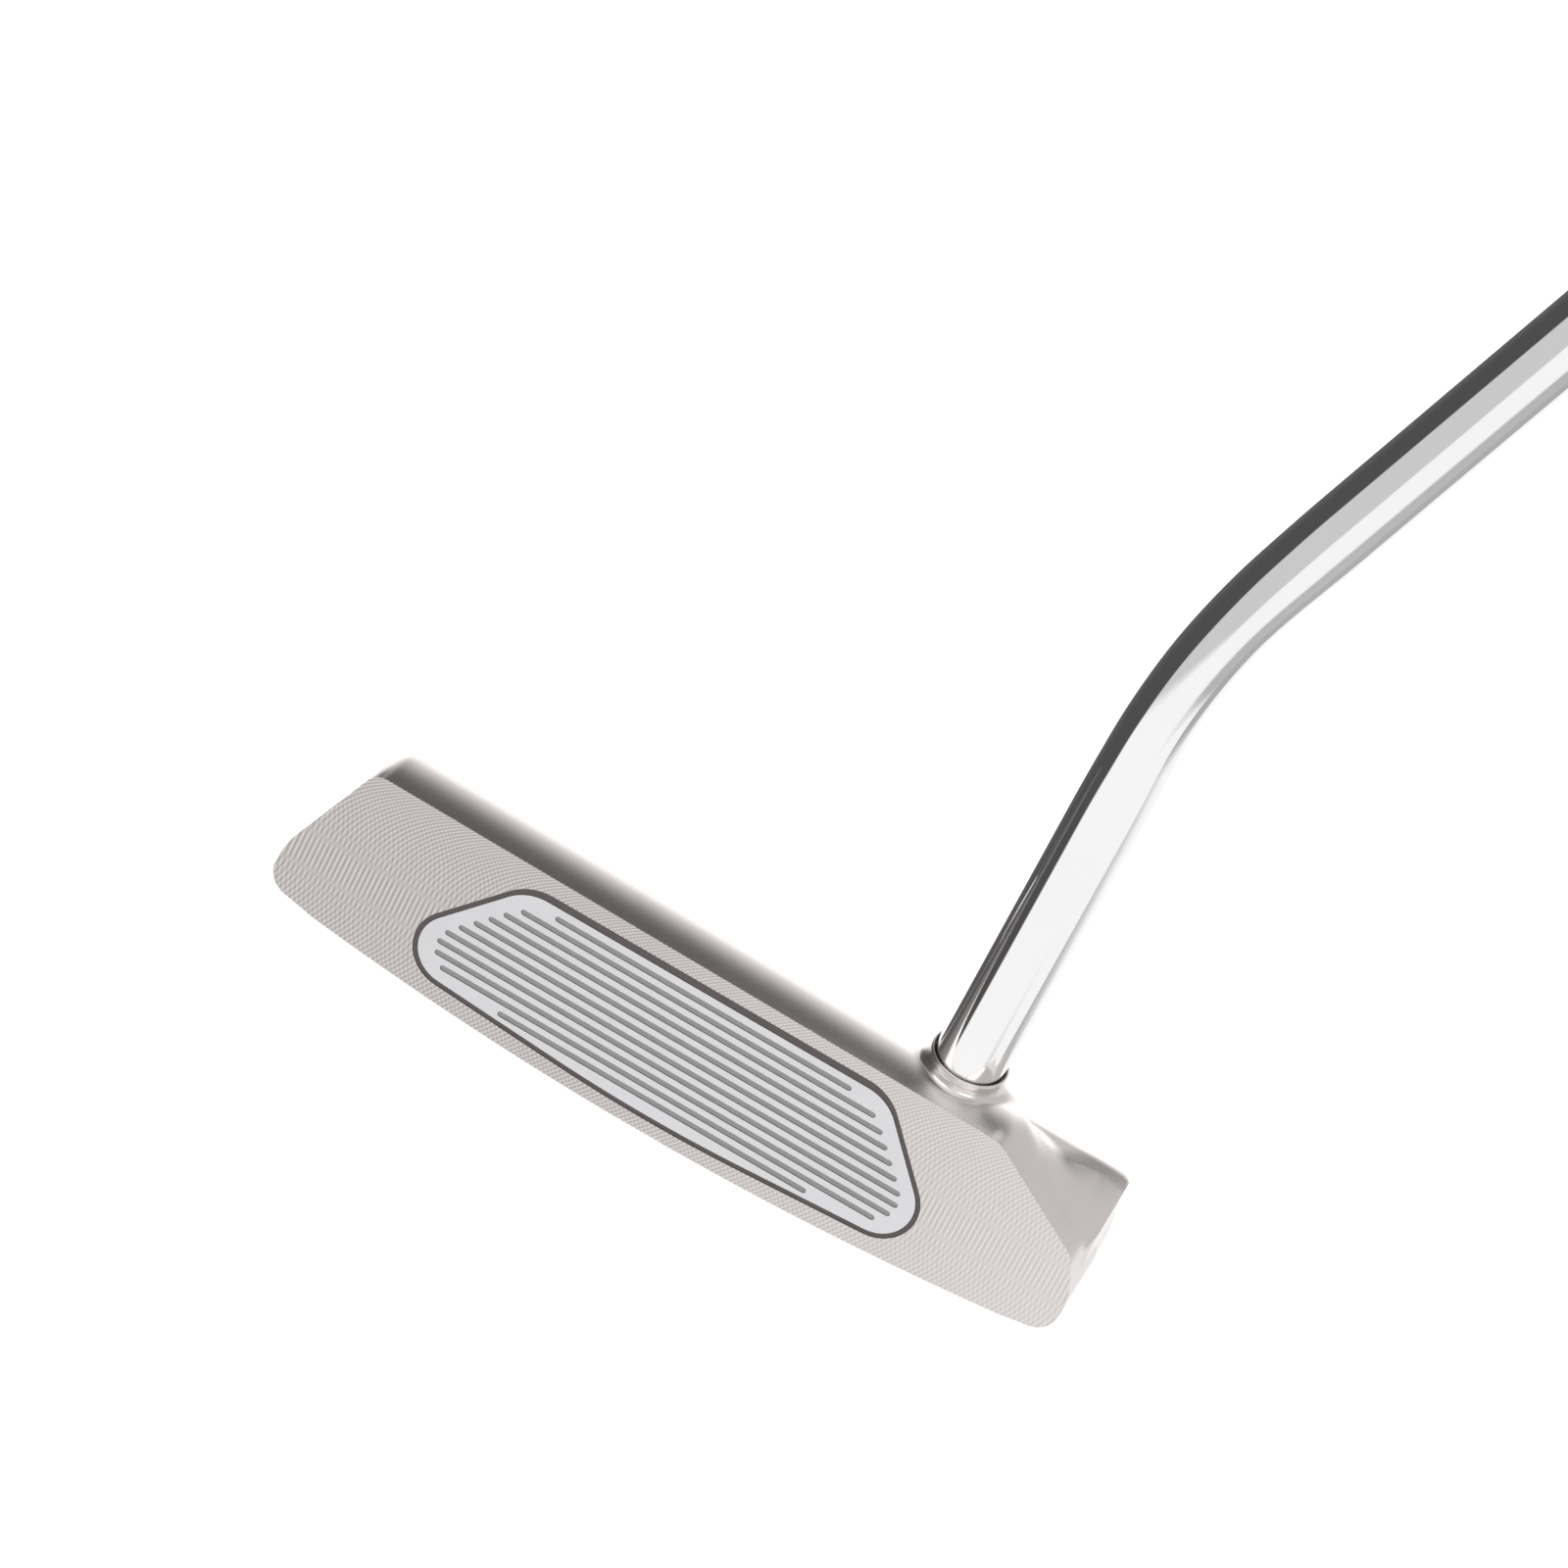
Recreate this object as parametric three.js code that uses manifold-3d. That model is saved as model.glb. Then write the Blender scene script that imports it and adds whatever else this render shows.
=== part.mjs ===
// A right-handed heel-shafted blade putter, standing at address.
// Millimetres, +Z up. The origin is the middle of the flat on the sole.
// -X is the toe, +X is the heel, and the strike face looks towards -Y.
import * as THREE from "three";
import Module from "manifold-3d";
import { mergeVertices } from "three/addons/utils/BufferGeometryUtils.js";
import { ConvexGeometry } from "three/addons/geometries/ConvexGeometry.js";

const wasm = await Module();
wasm.setup();

// ---- driving dimensions ------------------------------------------------------------------

const GAP = 0.3; // clearance left between bonded pieces

const LOFT = THREE.MathUtils.degToRad(3);
const LIE = THREE.MathUtils.degToRad(71.5);
const CLUB_LENGTH = 864; // sole to butt along the shaft, 34 inches

const FACE_Y = -13; // where the face plane meets the ground
const TOE_X = -57.2;
const HEEL_X = 57.9;
const CROWN_TOE = 27.7; // height of the topline's crown at its toe end
const CROWN_HEEL = 26.9;
const BLADE_THICK = 13.2; // face to the rear of the topline
const BACK_Y = 15; // rear of the flange
const SOLE_RADIUS = 400; // toe-to-heel camber
const SOLE_SINK = 0.15; // camber cut away to leave the sole's flat
const EDGE_RUN = 4.4; // length of the rounding along the topline and sole, measured front to back
const EDGE_DROP = 1.2; // height of the same rounding
const EDGE_CUT = 1.4; // part of the rounding removed by the flat face

const SLOPE_X = 41.2; // where the topline starts to slope down to the heel
const SLOPE_FOOT = [55.4, 17.1]; // X and Z where that slope ends
const BUMPER_TOP = 21.5;
const CREASE_X = 47.5; // where the crease of the heel cove meets the blade
const CREASE_Y = -0.6;
const FLANGE_TOP = 7.5;
const CAVITY_FRONT = 1.2;
const CAVITY_TOE = -24;
const CAVITY_HEEL = 16;
const CAVITY_FLARE = 7;

const INSERT_TOP = 24.1; // outline of the pocket in the face
const INSERT_CORNER_X = 26;
const INSERT_TIP_X = 42.3;
const INSERT_TIP_Z = 5;
const INSERT_BOTTOM = 2.1;
const INSERT_TOP_RADIUS = 7;
const INSERT_TIP_RADIUS = 5.6;
const POCKET_DEPTH = 3.7;
const RING_WIDTH = 0.68;
const RING_TOP_EXTRA = 0.4;
const RING_DEPTH = 1.3;
const PLATE_THICK = 1.5;
const CORE_BACKING = 1.3;
const FILM_THICK = 0.3;
const FIT = 0.05; // moulded fit between the insert's own layers

const GROOVE_COUNT = 11;
const GROOVE_PITCH = 1.627;
const GROOVE_WIDTH = 0.78;
const GROOVE_TOP_Z = 21.6;
const GROOVE_RECESS = 0.15;

const SHAFT_R = 4.7; // 0.370 inch parallel tip
const SHAFT_WALL = 0.55;
const BUTT_R = 7.5;
const SHAFT_STEPS = 11;
const STEP_START = 205; // along the shaft from the collar's rim
const STEP_PITCH = 36;
const BEND_START = 54;
const BEND_RADIUS = 98;
const BENT_LENGTH = 150;
const RIM = new THREE.Vector3(32.2, -3.5, 29.3);
const TIP_LEAN = THREE.MathUtils.degToRad(5); // tip leans towards the target
const TIP_TILT = THREE.MathUtils.degToRad(0.5);
const RIM_R = 5.25;
const BORE_R = 4.95;
const BORE_DEPTH = 18;
const BOND_IN = 4.76;
const BOND_OUT = 4.9;

const WEIGHT_X = 41;
const WEIGHT_Y = 2;
const WEIGHT_HEAD_R = 6;
const WEIGHT_HEAD_DEPTH = 3;
const WEIGHT_STUD_R = 4;
const WEIGHT_STUD_DEPTH = 4;
const WEIGHT_SINK = 0.4;
const SEAL_R = 0.45;
const SEAL_ROOM = 1.1; // height left for the seal under the weight's head
const CHAMFER = 0.4;
const PIN_OFFSET = 3.2; // the two holes for the spanner
const PIN_HOLE_R = 0.9;
const PIN_HOLE_DEPTH = 1.8;

const GRIP_LENGTH = 267;
const GRIP_TOP_R = 14;
const GRIP_LOW_R = 10.2;
const GRIP_FLAT = 2.4; // depth of the flat along the front of the grip
const SKIN_THICK = 1.8;
const TAPE_THICK = 0.4;
const CAP_THICK = 3;
const VENT_R = 1;

const SIGHT_WIDTH = 1.6;
const SIGHT_LENGTH = 9;
const SIGHT_DEPTH = 0.6;

const ROUND = 32; // sides of a turned piece
const SHAFT_SIDES = 24;
const BORE_SIDES = 12;
const SWEEP_STEPS = 30;

// ---- helpers -----------------------------------------------------------------------------

function solid(geometry) {
  const g = geometry.index ? geometry.toNonIndexed() : geometry.clone();
  g.deleteAttribute("normal");
  g.deleteAttribute("uv");
  const merged = mergeVertices(g, 1e-4);
  return new wasm.Manifold(
    new wasm.Mesh({
      numProp: 3,
      vertProperties: Float32Array.from(merged.attributes.position.array),
      triVerts: Uint32Array.from(merged.index.array),
    }),
  );
}

function geometryOf(manifold) {
  const mesh = manifold.getMesh();
  const g = new THREE.BufferGeometry();
  g.setAttribute("position", new THREE.BufferAttribute(mesh.vertProperties, 3));
  g.setIndex(new THREE.BufferAttribute(mesh.triVerts, 1));
  return g;
}

function moved(geometry, matrix) {
  return geometry.clone().applyMatrix4(matrix);
}

function circle(radius, sides = ROUND) {
  const shape = new THREE.Shape();
  for (let i = 0; i < sides; i += 1) {
    const a = (2 * Math.PI * i) / sides;
    const x = radius * Math.cos(a);
    const y = radius * Math.sin(a);
    if (i === 0) shape.moveTo(x, y);
    else shape.lineTo(x, y);
  }
  shape.closePath();
  return shape;
}

// A closed outline whose corners [x, y, radius] are rounded by tangent curves.
function roundedOutline(corners, divisions = 6) {
  const points = [];
  const count = corners.length;
  for (let i = 0; i < count; i += 1) {
    const here = new THREE.Vector2(corners[i][0], corners[i][1]);
    const before = new THREE.Vector2(...corners[(i + count - 1) % count].slice(0, 2)).sub(here);
    const after = new THREE.Vector2(...corners[(i + 1) % count].slice(0, 2)).sub(here);
    const half = Math.abs(before.angleTo(after)) / 2;
    const radius = corners[i][2];
    if (radius === 0) {
      points.push(here);
      continue;
    }
    const run = radius / Math.tan(half);
    const toCentre = before.clone().normalize().add(after.clone().normalize()).normalize();
    const centre = here.clone().addScaledVector(toCentre, radius / Math.sin(half));
    const start = here.clone().addScaledVector(before.normalize(), run).sub(centre).angle();
    const end = here.clone().addScaledVector(after.normalize(), run).sub(centre).angle();
    let sweep = end - start;
    if (sweep > Math.PI) sweep -= 2 * Math.PI;
    if (sweep < -Math.PI) sweep += 2 * Math.PI;
    for (let k = 0; k <= divisions; k += 1) {
      const a = start + (sweep * k) / divisions;
      points.push(new THREE.Vector2(Math.cos(a), Math.sin(a)).multiplyScalar(radius).add(centre));
    }
  }
  return points;
}

function extruded(points, depth, options = {}) {
  return new THREE.ExtrudeGeometry(new THREE.Shape(points), { depth, bevelEnabled: false, ...options });
}

// Turns an extrusion drawn in X and Z so that its depth runs along +Y.
const FRONT_VIEW = new THREE.Matrix4().makeBasis(
  new THREE.Vector3(1, 0, 0),
  new THREE.Vector3(0, 0, 1),
  new THREE.Vector3(0, -1, 0),
);

function frontView(points, yFrom, yTo, options) {
  const g = moved(extruded(points, yTo - yFrom, options), FRONT_VIEW);
  return g.translate(0, yTo, 0);
}

// The lofted frame: depth w runs from the face plane into the head.
const FACE_FRAME = new THREE.Matrix4()
  .makeRotationX(-LOFT)
  .setPosition(0, FACE_Y, 0);

function behindFace(points, from, to, options) {
  return moved(frontView(points, from, to, options), FACE_FRAME);
}

function axisMatrix(origin, direction) {
  const turn = new THREE.Quaternion().setFromUnitVectors(new THREE.Vector3(0, 1, 0), direction);
  return new THREE.Matrix4().compose(origin, turn, new THREE.Vector3(1, 1, 1));
}

// profile: [radius, distance along the axis] pairs, starting and ending on the axis or closed.
function turned(profile, origin, direction, sides = ROUND) {
  const g = new THREE.LatheGeometry(profile.map(([r, h]) => new THREE.Vector2(r, h)), sides);
  return moved(g, axisMatrix(origin, direction));
}

function rod(radius, from, to, origin, direction, sides = ROUND) {
  return turned([[0, from], [radius, from], [radius, to], [0, to]], origin, direction, sides);
}

function tube(inner, outer, from, to, origin, direction, sides = ROUND) {
  const profile = [[inner, from], [outer, from], [outer, to], [inner, to], [inner, from]];
  return turned(profile, origin, direction, sides);
}

const UP = new THREE.Vector3(0, 0, 1);

// ---- head --------------------------------------------------------------------------------

function soleCurve(fromX, toX, count) {
  const points = [];
  for (let i = 0; i <= count; i += 1) {
    const x = THREE.MathUtils.lerp(fromX, toX, i / count);
    points.push([x, (x * x) / (2 * SOLE_RADIUS) - SOLE_SINK, 0]);
  }
  return points;
}

function bladeOutline() {
  return roundedOutline([
    ...soleCurve(-50, 51, 12),
    [HEEL_X, 4.2, 4.5],
    [HEEL_X, 15.5, 3.5],
    [SLOPE_X, CROWN_HEEL, 6],
    [-49.3, CROWN_TOE, 2.6],
    [-54.6, 16.4, 14],
    [TOE_X, 4.6, 4.2],
  ], 5);
}

function bodyOutline() {
  return roundedOutline([
    ...soleCurve(-50, 51, 12),
    [HEEL_X, 4.2, 4.5],
    [HEEL_X - 0.4, BUMPER_TOP, 5],
    [-52, BUMPER_TOP, 3],
    [-54.6, 16.4, 10],
    [TOE_X, 4.6, 4.2],
  ], 4);
}

function bodyPlan() {
  return roundedOutline([
    [TOE_X, FACE_Y, 0],
    [HEEL_X, FACE_Y, 0],
    [HEEL_X, BACK_Y, 9],
    [TOE_X, BACK_Y, 9],
  ], 5);
}

function bodySection() {
  // front to back: blade side, bumper top, sloping back, flange edge, sole
  return roundedOutline([
    [-8, 0, 0],
    [BACK_Y - 6, 0, 6],
    [BACK_Y, 3.2, 2],
    [BACK_Y, 9.5, 4],
    [4.6, BUMPER_TOP, 4],
    [-8, BUMPER_TOP, 0],
  ], 4);
}

function sideView(points, xFrom, xTo) {
  const basis = new THREE.Matrix4().makeBasis(
    new THREE.Vector3(0, 1, 0),
    new THREE.Vector3(0, 0, 1),
    new THREE.Vector3(1, 0, 0),
  );
  return moved(extruded(points, xTo - xFrom), basis).translate(xFrom, 0, 0);
}

function tipDirection() {
  return new THREE.Vector3(
    Math.sin(TIP_TILT) * Math.cos(TIP_LEAN),
    -Math.sin(TIP_LEAN),
    Math.cos(TIP_TILT) * Math.cos(TIP_LEAN),
  );
}

const TIP = tipDirection();
const TOP = new THREE.Vector3(Math.cos(LIE), 0, Math.sin(LIE));

function collar() {
  const root = 8;
  const foot = -16;
  const flare = [
    [0, foot], [root, foot], [root, -4.4], [6.6, -3.6], [5.8, -2.6],
    [RIM_R + 0.15, -1.2], [RIM_R, 0], [0, 0],
  ];
  return solid(turned(flare, RIM, TIP));
}

// The swept shoulder behind the sloping heel edge, rising to the front of the heel bumper.
function heelShoulder() {
  const [footX, footZ] = SLOPE_FOOT;
  const sideX = HEEL_X - 0.7;
  const frontY = FACE_Y + 1.4;
  const inner = SLOPE_X + 1.8;
  const base = 8;
  const points = [
    [inner, frontY, CROWN_HEEL - 2.9], [footX - 0.4, frontY - 0.5, footZ - 0.9], [sideX, frontY + 1.6, 12],
    [inner + 1, CREASE_Y - 0.4, BUMPER_TOP + 2.1], [CREASE_X, CREASE_Y, BUMPER_TOP],
    [footX - 2.4, CREASE_Y + 2, BUMPER_TOP], [sideX, CREASE_Y + 1.6, 15],
    [inner, frontY + 0.6, base], [sideX - 0.2, frontY + 1.6, base],
    [sideX - 0.2, 0, base], [inner, 0, base],
  ];
  return solid(new ConvexGeometry(points.map((p) => new THREE.Vector3(...p))));
}

function headBody() {
  const edge = {
    bevelEnabled: true,
    bevelThickness: EDGE_RUN,
    bevelSize: EDGE_DROP,
    bevelOffset: -EDGE_DROP,
    bevelSegments: 4,
  };
  const from = EDGE_RUN - EDGE_CUT;
  let head = solid(behindFace(bladeOutline(), from, BLADE_THICK - EDGE_RUN, edge));

  let rear = solid(sideView(bodySection(), TOE_X, HEEL_X));
  rear = rear.intersect(solid(frontView(bodyOutline(), -8, BACK_Y, {})));
  rear = rear.intersect(solid(extruded(bodyPlan(), 40).translate(0, 0, -5)));
  head = head.add(rear).add(heelShoulder()).add(collar());

  const front = new THREE.BoxGeometry(160, 20, 80).translate(0, -10, 20);
  head = head.subtract(solid(moved(front, FACE_FRAME)));
  head = head.subtract(solid(new THREE.BoxGeometry(160, 80, 10).translate(0, 0, -5)));

  const cavity = roundedOutline([
    [CAVITY_TOE, CAVITY_FRONT, 3],
    [CAVITY_HEEL, CAVITY_FRONT, 3],
    [CAVITY_HEEL + CAVITY_FLARE, BACK_Y + 3, 0],
    [CAVITY_TOE - CAVITY_FLARE, BACK_Y + 3, 0],
  ]);
  head = head.subtract(solid(extruded(cavity, 30).translate(0, 0, FLANGE_TOP)));

  head = head.subtract(solid(behindFace(insertOutline(0), -2, POCKET_DEPTH, {})));
  head = head.subtract(solid(rod(BORE_R, -BORE_DEPTH, 3, RIM, TIP)));

  for (const side of [-1, 1]) {
    const seat = weightSeat(side);
    head = head.subtract(solid(rod(WEIGHT_HEAD_R, -3, WEIGHT_HEAD_DEPTH, seat, UP)));
    head = head.subtract(solid(rod(WEIGHT_STUD_R, 0, WEIGHT_HEAD_DEPTH + WEIGHT_STUD_DEPTH, seat, UP)));
  }
  return head.subtract(solid(sightLine(0)));
}

// ---- insert ------------------------------------------------------------------------------

// The outline is a wide trapezium with round ends, drawn inset by a margin.
function insertOutline(inset, topExtra = 0) {
  const diagonal = Math.atan2(INSERT_TOP - INSERT_TIP_Z, INSERT_TIP_X - INSERT_CORNER_X);
  const bottomSlope = Math.atan2(INSERT_TIP_Z - INSERT_BOTTOM, INSERT_TIP_X);
  const top = INSERT_TOP - inset - topExtra;
  const bottom = INSERT_BOTTOM + inset / Math.cos(bottomSlope);
  // the sloping side and the bottom edge, both moved in by the margin
  const sideAtTop = INSERT_CORNER_X + (INSERT_TOP - top) / Math.tan(diagonal) - inset / Math.sin(diagonal);
  const rise = Math.tan(bottomSlope);
  const fall = Math.tan(diagonal);
  const tipX = (top - bottom + fall * sideAtTop) / (rise + fall);
  const tipZ = bottom + rise * tipX;
  const topR = INSERT_TOP_RADIUS - inset;
  const tipR = INSERT_TIP_RADIUS - inset;
  return roundedOutline([
    [sideAtTop, top, topR],
    [-sideAtTop, top, topR],
    [-tipX, tipZ, tipR],
    [0, bottom, 200],
    [tipX, tipZ, tipR],
  ], 7);
}

function halfWidthAt(points, z) {
  let widest = 0;
  points.forEach((a, i) => {
    const b = points[(i + 1) % points.length];
    if ((a.y - z) * (b.y - z) > 0 || a.y === b.y) return;
    widest = Math.max(widest, a.x + ((b.x - a.x) * (z - a.y)) / (b.y - a.y));
  });
  return widest;
}

// The grooves end on a narrower outline of the same kind.
function grooveRows() {
  const field = roundedOutline([
    [24.45, 21.67, 9.3],
    [-24.45, 21.67, 9.3],
    [-37.1, 7.5, 3.7],
    [0, 2.0, 0],
    [37.1, 7.5, 3.7],
  ], 8);
  const rows = [];
  for (let i = 0; i < GROOVE_COUNT; i += 1) {
    const z = GROOVE_TOP_Z - i * GROOVE_PITCH;
    rows.push({ z, half: halfWidthAt(field, z) });
  }
  return rows;
}

function grooveBars(width, from, to) {
  return grooveRows().map(({ z, half }) => {
    const r = width / 2;
    const end = half - (GROOVE_WIDTH - width) / 2;
    const bar = roundedOutline([
      [end, z + r, r * 0.99],
      [-end, z + r, r * 0.99],
      [-end, z - r, r * 0.99],
      [end, z - r, r * 0.99],
    ], 3);
    return solid(behindFace(bar, from, to, {}));
  });
}

function insertPlate() {
  let plate = solid(behindFace(insertOutline(RING_WIDTH, RING_TOP_EXTRA), 0, PLATE_THICK, {}));
  for (const bar of grooveBars(GROOVE_WIDTH, -1, PLATE_THICK + 1)) plate = plate.subtract(bar);
  return plate;
}

function insertCore() {
  const from = PLATE_THICK + FIT;
  let core = solid(behindFace(insertOutline(FIT), from, from + CORE_BACKING, {}));
  for (const bar of grooveBars(GROOVE_WIDTH - 2 * FIT, GROOVE_RECESS, from + 0.2)) core = core.add(bar);
  return core;
}

function insertRing() {
  const outer = solid(behindFace(insertOutline(FIT), GROOVE_RECESS, RING_DEPTH, {}));
  const hole = behindFace(insertOutline(RING_WIDTH - FIT, RING_TOP_EXTRA), -1, RING_DEPTH + 1, {});
  return outer.subtract(solid(hole));
}

function insertFilm() {
  const from = PLATE_THICK + CORE_BACKING + 0.25;
  return solid(behindFace(insertOutline(1), from, from + FILM_THICK, {}));
}

// ---- sole weights ------------------------------------------------------------------------

// Middle of a weight's outer face, sunk into the cambered sole.
function weightSeat(side) {
  const camber = (WEIGHT_X * WEIGHT_X) / (2 * SOLE_RADIUS) - SOLE_SINK;
  return new THREE.Vector3(side * WEIGHT_X, WEIGHT_Y, camber + WEIGHT_SINK);
}

function soleWeight(side) {
  const headR = WEIGHT_HEAD_R - GAP / 2;
  const studR = WEIGHT_STUD_R - GAP / 2;
  const headTop = WEIGHT_HEAD_DEPTH - GAP;
  const neckR = studR + 0.1;
  const seatZ = headTop - SEAL_ROOM;
  const studTop = WEIGHT_HEAD_DEPTH + WEIGHT_STUD_DEPTH - GAP;
  const profile = [
    [0, 0], [headR - CHAMFER, 0], [headR, CHAMFER], [headR, seatZ],
    [neckR, seatZ], [neckR, headTop], [studR, headTop], [studR, studTop], [0, studTop],
  ];
  let weight = solid(turned(profile, weightSeat(side), UP));
  for (const turn of [-1, 1]) {
    const at = weightSeat(side).add(new THREE.Vector3(turn * PIN_OFFSET, 0, 0));
    weight = weight.subtract(solid(rod(PIN_HOLE_R, -1, PIN_HOLE_DEPTH, at, UP, 12)));
  }
  return weight;
}

function weightSeal(side) {
  const z = WEIGHT_HEAD_DEPTH - GAP - 0.5;
  const ringR = WEIGHT_STUD_R + 0.1 + SEAL_R + 0.1;
  const profile = [];
  for (let i = 0; i <= 8; i += 1) {
    const a = (2 * Math.PI * i) / 8;
    profile.push([ringR + SEAL_R * Math.cos(a), z + SEAL_R * Math.sin(a)]);
  }
  return solid(turned(profile, weightSeat(side), UP, 24));
}

// ---- sight line --------------------------------------------------------------------------

function sightLine(inset) {
  const half = SIGHT_WIDTH / 2 - inset;
  const from = 4 + inset;
  const to = 4 + SIGHT_LENGTH - inset;
  const outline = roundedOutline([
    [-half, from, half * 0.9],
    [half, from, half * 0.9],
    [half, to, half * 0.9],
    [-half, to, half * 0.9],
  ], 4);
  const depth = inset > 0 ? SIGHT_DEPTH - inset - 0.1 : SIGHT_DEPTH + 1;
  return extruded(outline, depth).translate(0, 0, FLANGE_TOP - SIGHT_DEPTH + inset);
}

// ---- shaft -------------------------------------------------------------------------------

// Straight tip, one bend, straight butt; the parameter is the length along it.
class ShaftLine extends THREE.Curve {
  constructor(from, to) {
    super();
    this.from = from;
    this.to = to;
    this.angle = TIP.angleTo(TOP);
    this.axis = new THREE.Vector3().crossVectors(TIP, TOP).normalize();
  }

  at(length) {
    const straight = Math.min(length, BEND_START);
    const p = RIM.clone().addScaledVector(TIP, straight);
    if (length <= BEND_START) return p;
    const turn = Math.min((length - BEND_START) / BEND_RADIUS, this.angle);
    const centreward = new THREE.Vector3().crossVectors(this.axis, TIP);
    p.addScaledVector(TIP, BEND_RADIUS * Math.sin(turn));
    p.addScaledVector(centreward, BEND_RADIUS * (1 - Math.cos(turn)));
    const rest = length - BEND_START - turn * BEND_RADIUS;
    return p.addScaledVector(TOP, Math.max(rest, 0));
  }

  getPoint(t, target = new THREE.Vector3()) {
    return target.copy(this.at(THREE.MathUtils.lerp(this.from, this.to, t)));
  }
}

function sweep(radius, from, to, sides) {
  const options = { steps: SWEEP_STEPS, bevelEnabled: false, extrudePath: new ShaftLine(from, to) };
  return new THREE.ExtrudeGeometry(circle(radius, sides), options);
}

const LINE = new ShaftLine(0, 1);
// the butt's height follows from the club's length along the shaft
const BUTT = LINE.at(CLUB_LENGTH - RIM.z);
const SHAFT_END = CAP_THICK + GAP;

function stepRadius(i) {
  return SHAFT_R + 0.05 + ((BUTT_R - SHAFT_R - 0.05) * i) / SHAFT_STEPS;
}

function steppedProfile(inset, from, to) {
  const profile = [[0, from]];
  for (let i = 0; i <= SHAFT_STEPS; i += 1) {
    const start = i === 0 ? from : STEP_START + (i - 1) * STEP_PITCH;
    const end = i === SHAFT_STEPS ? to : STEP_START + i * STEP_PITCH - 1.5;
    profile.push([stepRadius(i) - inset, start], [stepRadius(i) - inset, end]);
  }
  profile.push([0, to]);
  return profile;
}

function straightPart(inset, from, to) {
  const origin = LINE.at(BENT_LENGTH).addScaledVector(TOP, -BENT_LENGTH);
  return solid(turned(steppedProfile(inset, from, to), origin, TOP, inset > 0 ? BORE_SIDES : SHAFT_SIDES));
}

function shaft() {
  const end = CLUB_LENGTH - RIM.z - SHAFT_END;
  const tipEnd = -BORE_DEPTH + GAP;
  const bent = solid(sweep(SHAFT_R, tipEnd, BENT_LENGTH, SHAFT_SIDES));
  const outer = bent.add(straightPart(0, BENT_LENGTH - 2, end));
  const inner = solid(sweep(SHAFT_R - SHAFT_WALL, tipEnd - 5, BENT_LENGTH, BORE_SIDES));
  return outer.subtract(inner.add(straightPart(SHAFT_WALL, BENT_LENGTH - 2, end + 5)));
}

function hoselBond() {
  return solid(tube(BOND_IN, BOND_OUT, -BORE_DEPTH + GAP, -GAP, RIM, TIP));
}

// ---- grip --------------------------------------------------------------------------------

function gripRadius(fromButt) {
  // pistol shape: full under the top hand, waisted, then tapering to the mouth
  const t = fromButt / GRIP_LENGTH;
  const taper = THREE.MathUtils.lerp(GRIP_TOP_R, GRIP_LOW_R, t);
  const swell = 1.1 * Math.exp(-(((t - 0.22) / 0.16) ** 2));
  return taper + swell - 0.6 * Math.exp(-(((t - 0.5) / 0.18) ** 2));
}

// A turned solid grip, drawn inset by a margin, with the flat cut off.
function gripSolid(inset, from, to) {
  const profile = [[0, from]];
  const count = 18;
  for (let i = 0; i <= count; i += 1) {
    const h = THREE.MathUtils.lerp(from, to, i / count);
    profile.push([gripRadius(h) - inset, h]);
  }
  profile.push([0, to]);
  return solid(turned(profile, BUTT, BACK_DOWN)).subtract(solid(gripBlock(inset)));
}

const BACK_DOWN = TOP.clone().negate();

// The flat runs down the front of the grip, under the player's thumbs.
function gripBlock(inset) {
  const box = new THREE.BoxGeometry(400, GRIP_LENGTH * 3, 20);
  const frame = axisMatrix(BUTT, BACK_DOWN);
  const side = new THREE.Vector3(0, 0, 1).transformDirection(frame);
  const toward = new THREE.Vector3(-TOP.z, 0, TOP.x);
  const turn = Math.atan2(
    new THREE.Vector3().crossVectors(side, toward).dot(BACK_DOWN),
    side.dot(toward),
  );
  const reach = GRIP_TOP_R - GRIP_FLAT - inset + 10;
  const local = new THREE.Matrix4().makeRotationY(turn);
  return moved(moved(box.translate(0, 0, reach), local), frame);
}

function gripSkin() {
  const inner = gripSolid(SKIN_THICK, CAP_THICK - 1, GRIP_LENGTH + 1);
  return gripSolid(0, CAP_THICK, GRIP_LENGTH).subtract(inner);
}

function gripUnderlisting() {
  const bore = BUTT_R + GAP + TAPE_THICK + GAP;
  const hole = rod(bore, CAP_THICK - 5, GRIP_LENGTH + 5, BUTT, BACK_DOWN);
  return gripSolid(SKIN_THICK + GAP, CAP_THICK, GRIP_LENGTH - 0.5).subtract(solid(hole));
}

function gripTape() {
  const from = SHAFT_END + 6;
  const to = GRIP_LENGTH - 4;
  const inner = BUTT_R + GAP;
  return solid(tube(inner, inner + TAPE_THICK, from, to, BUTT, BACK_DOWN, SHAFT_SIDES));
}

function gripCap() {
  const edge = gripRadius(0);
  const rear = CAP_THICK - GAP;
  const profile = [[0, 0], [edge - 2.2, 0], [edge - 0.4, 0.8], [edge - 0.2, rear], [0, rear]];
  const vent = rod(VENT_R, -1, CAP_THICK + 1, BUTT, BACK_DOWN, 12);
  return solid(turned(profile, BUTT, BACK_DOWN)).subtract(solid(gripBlock(0))).subtract(solid(vent));
}

// ---- assembly ----------------------------------------------------------------------------

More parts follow.
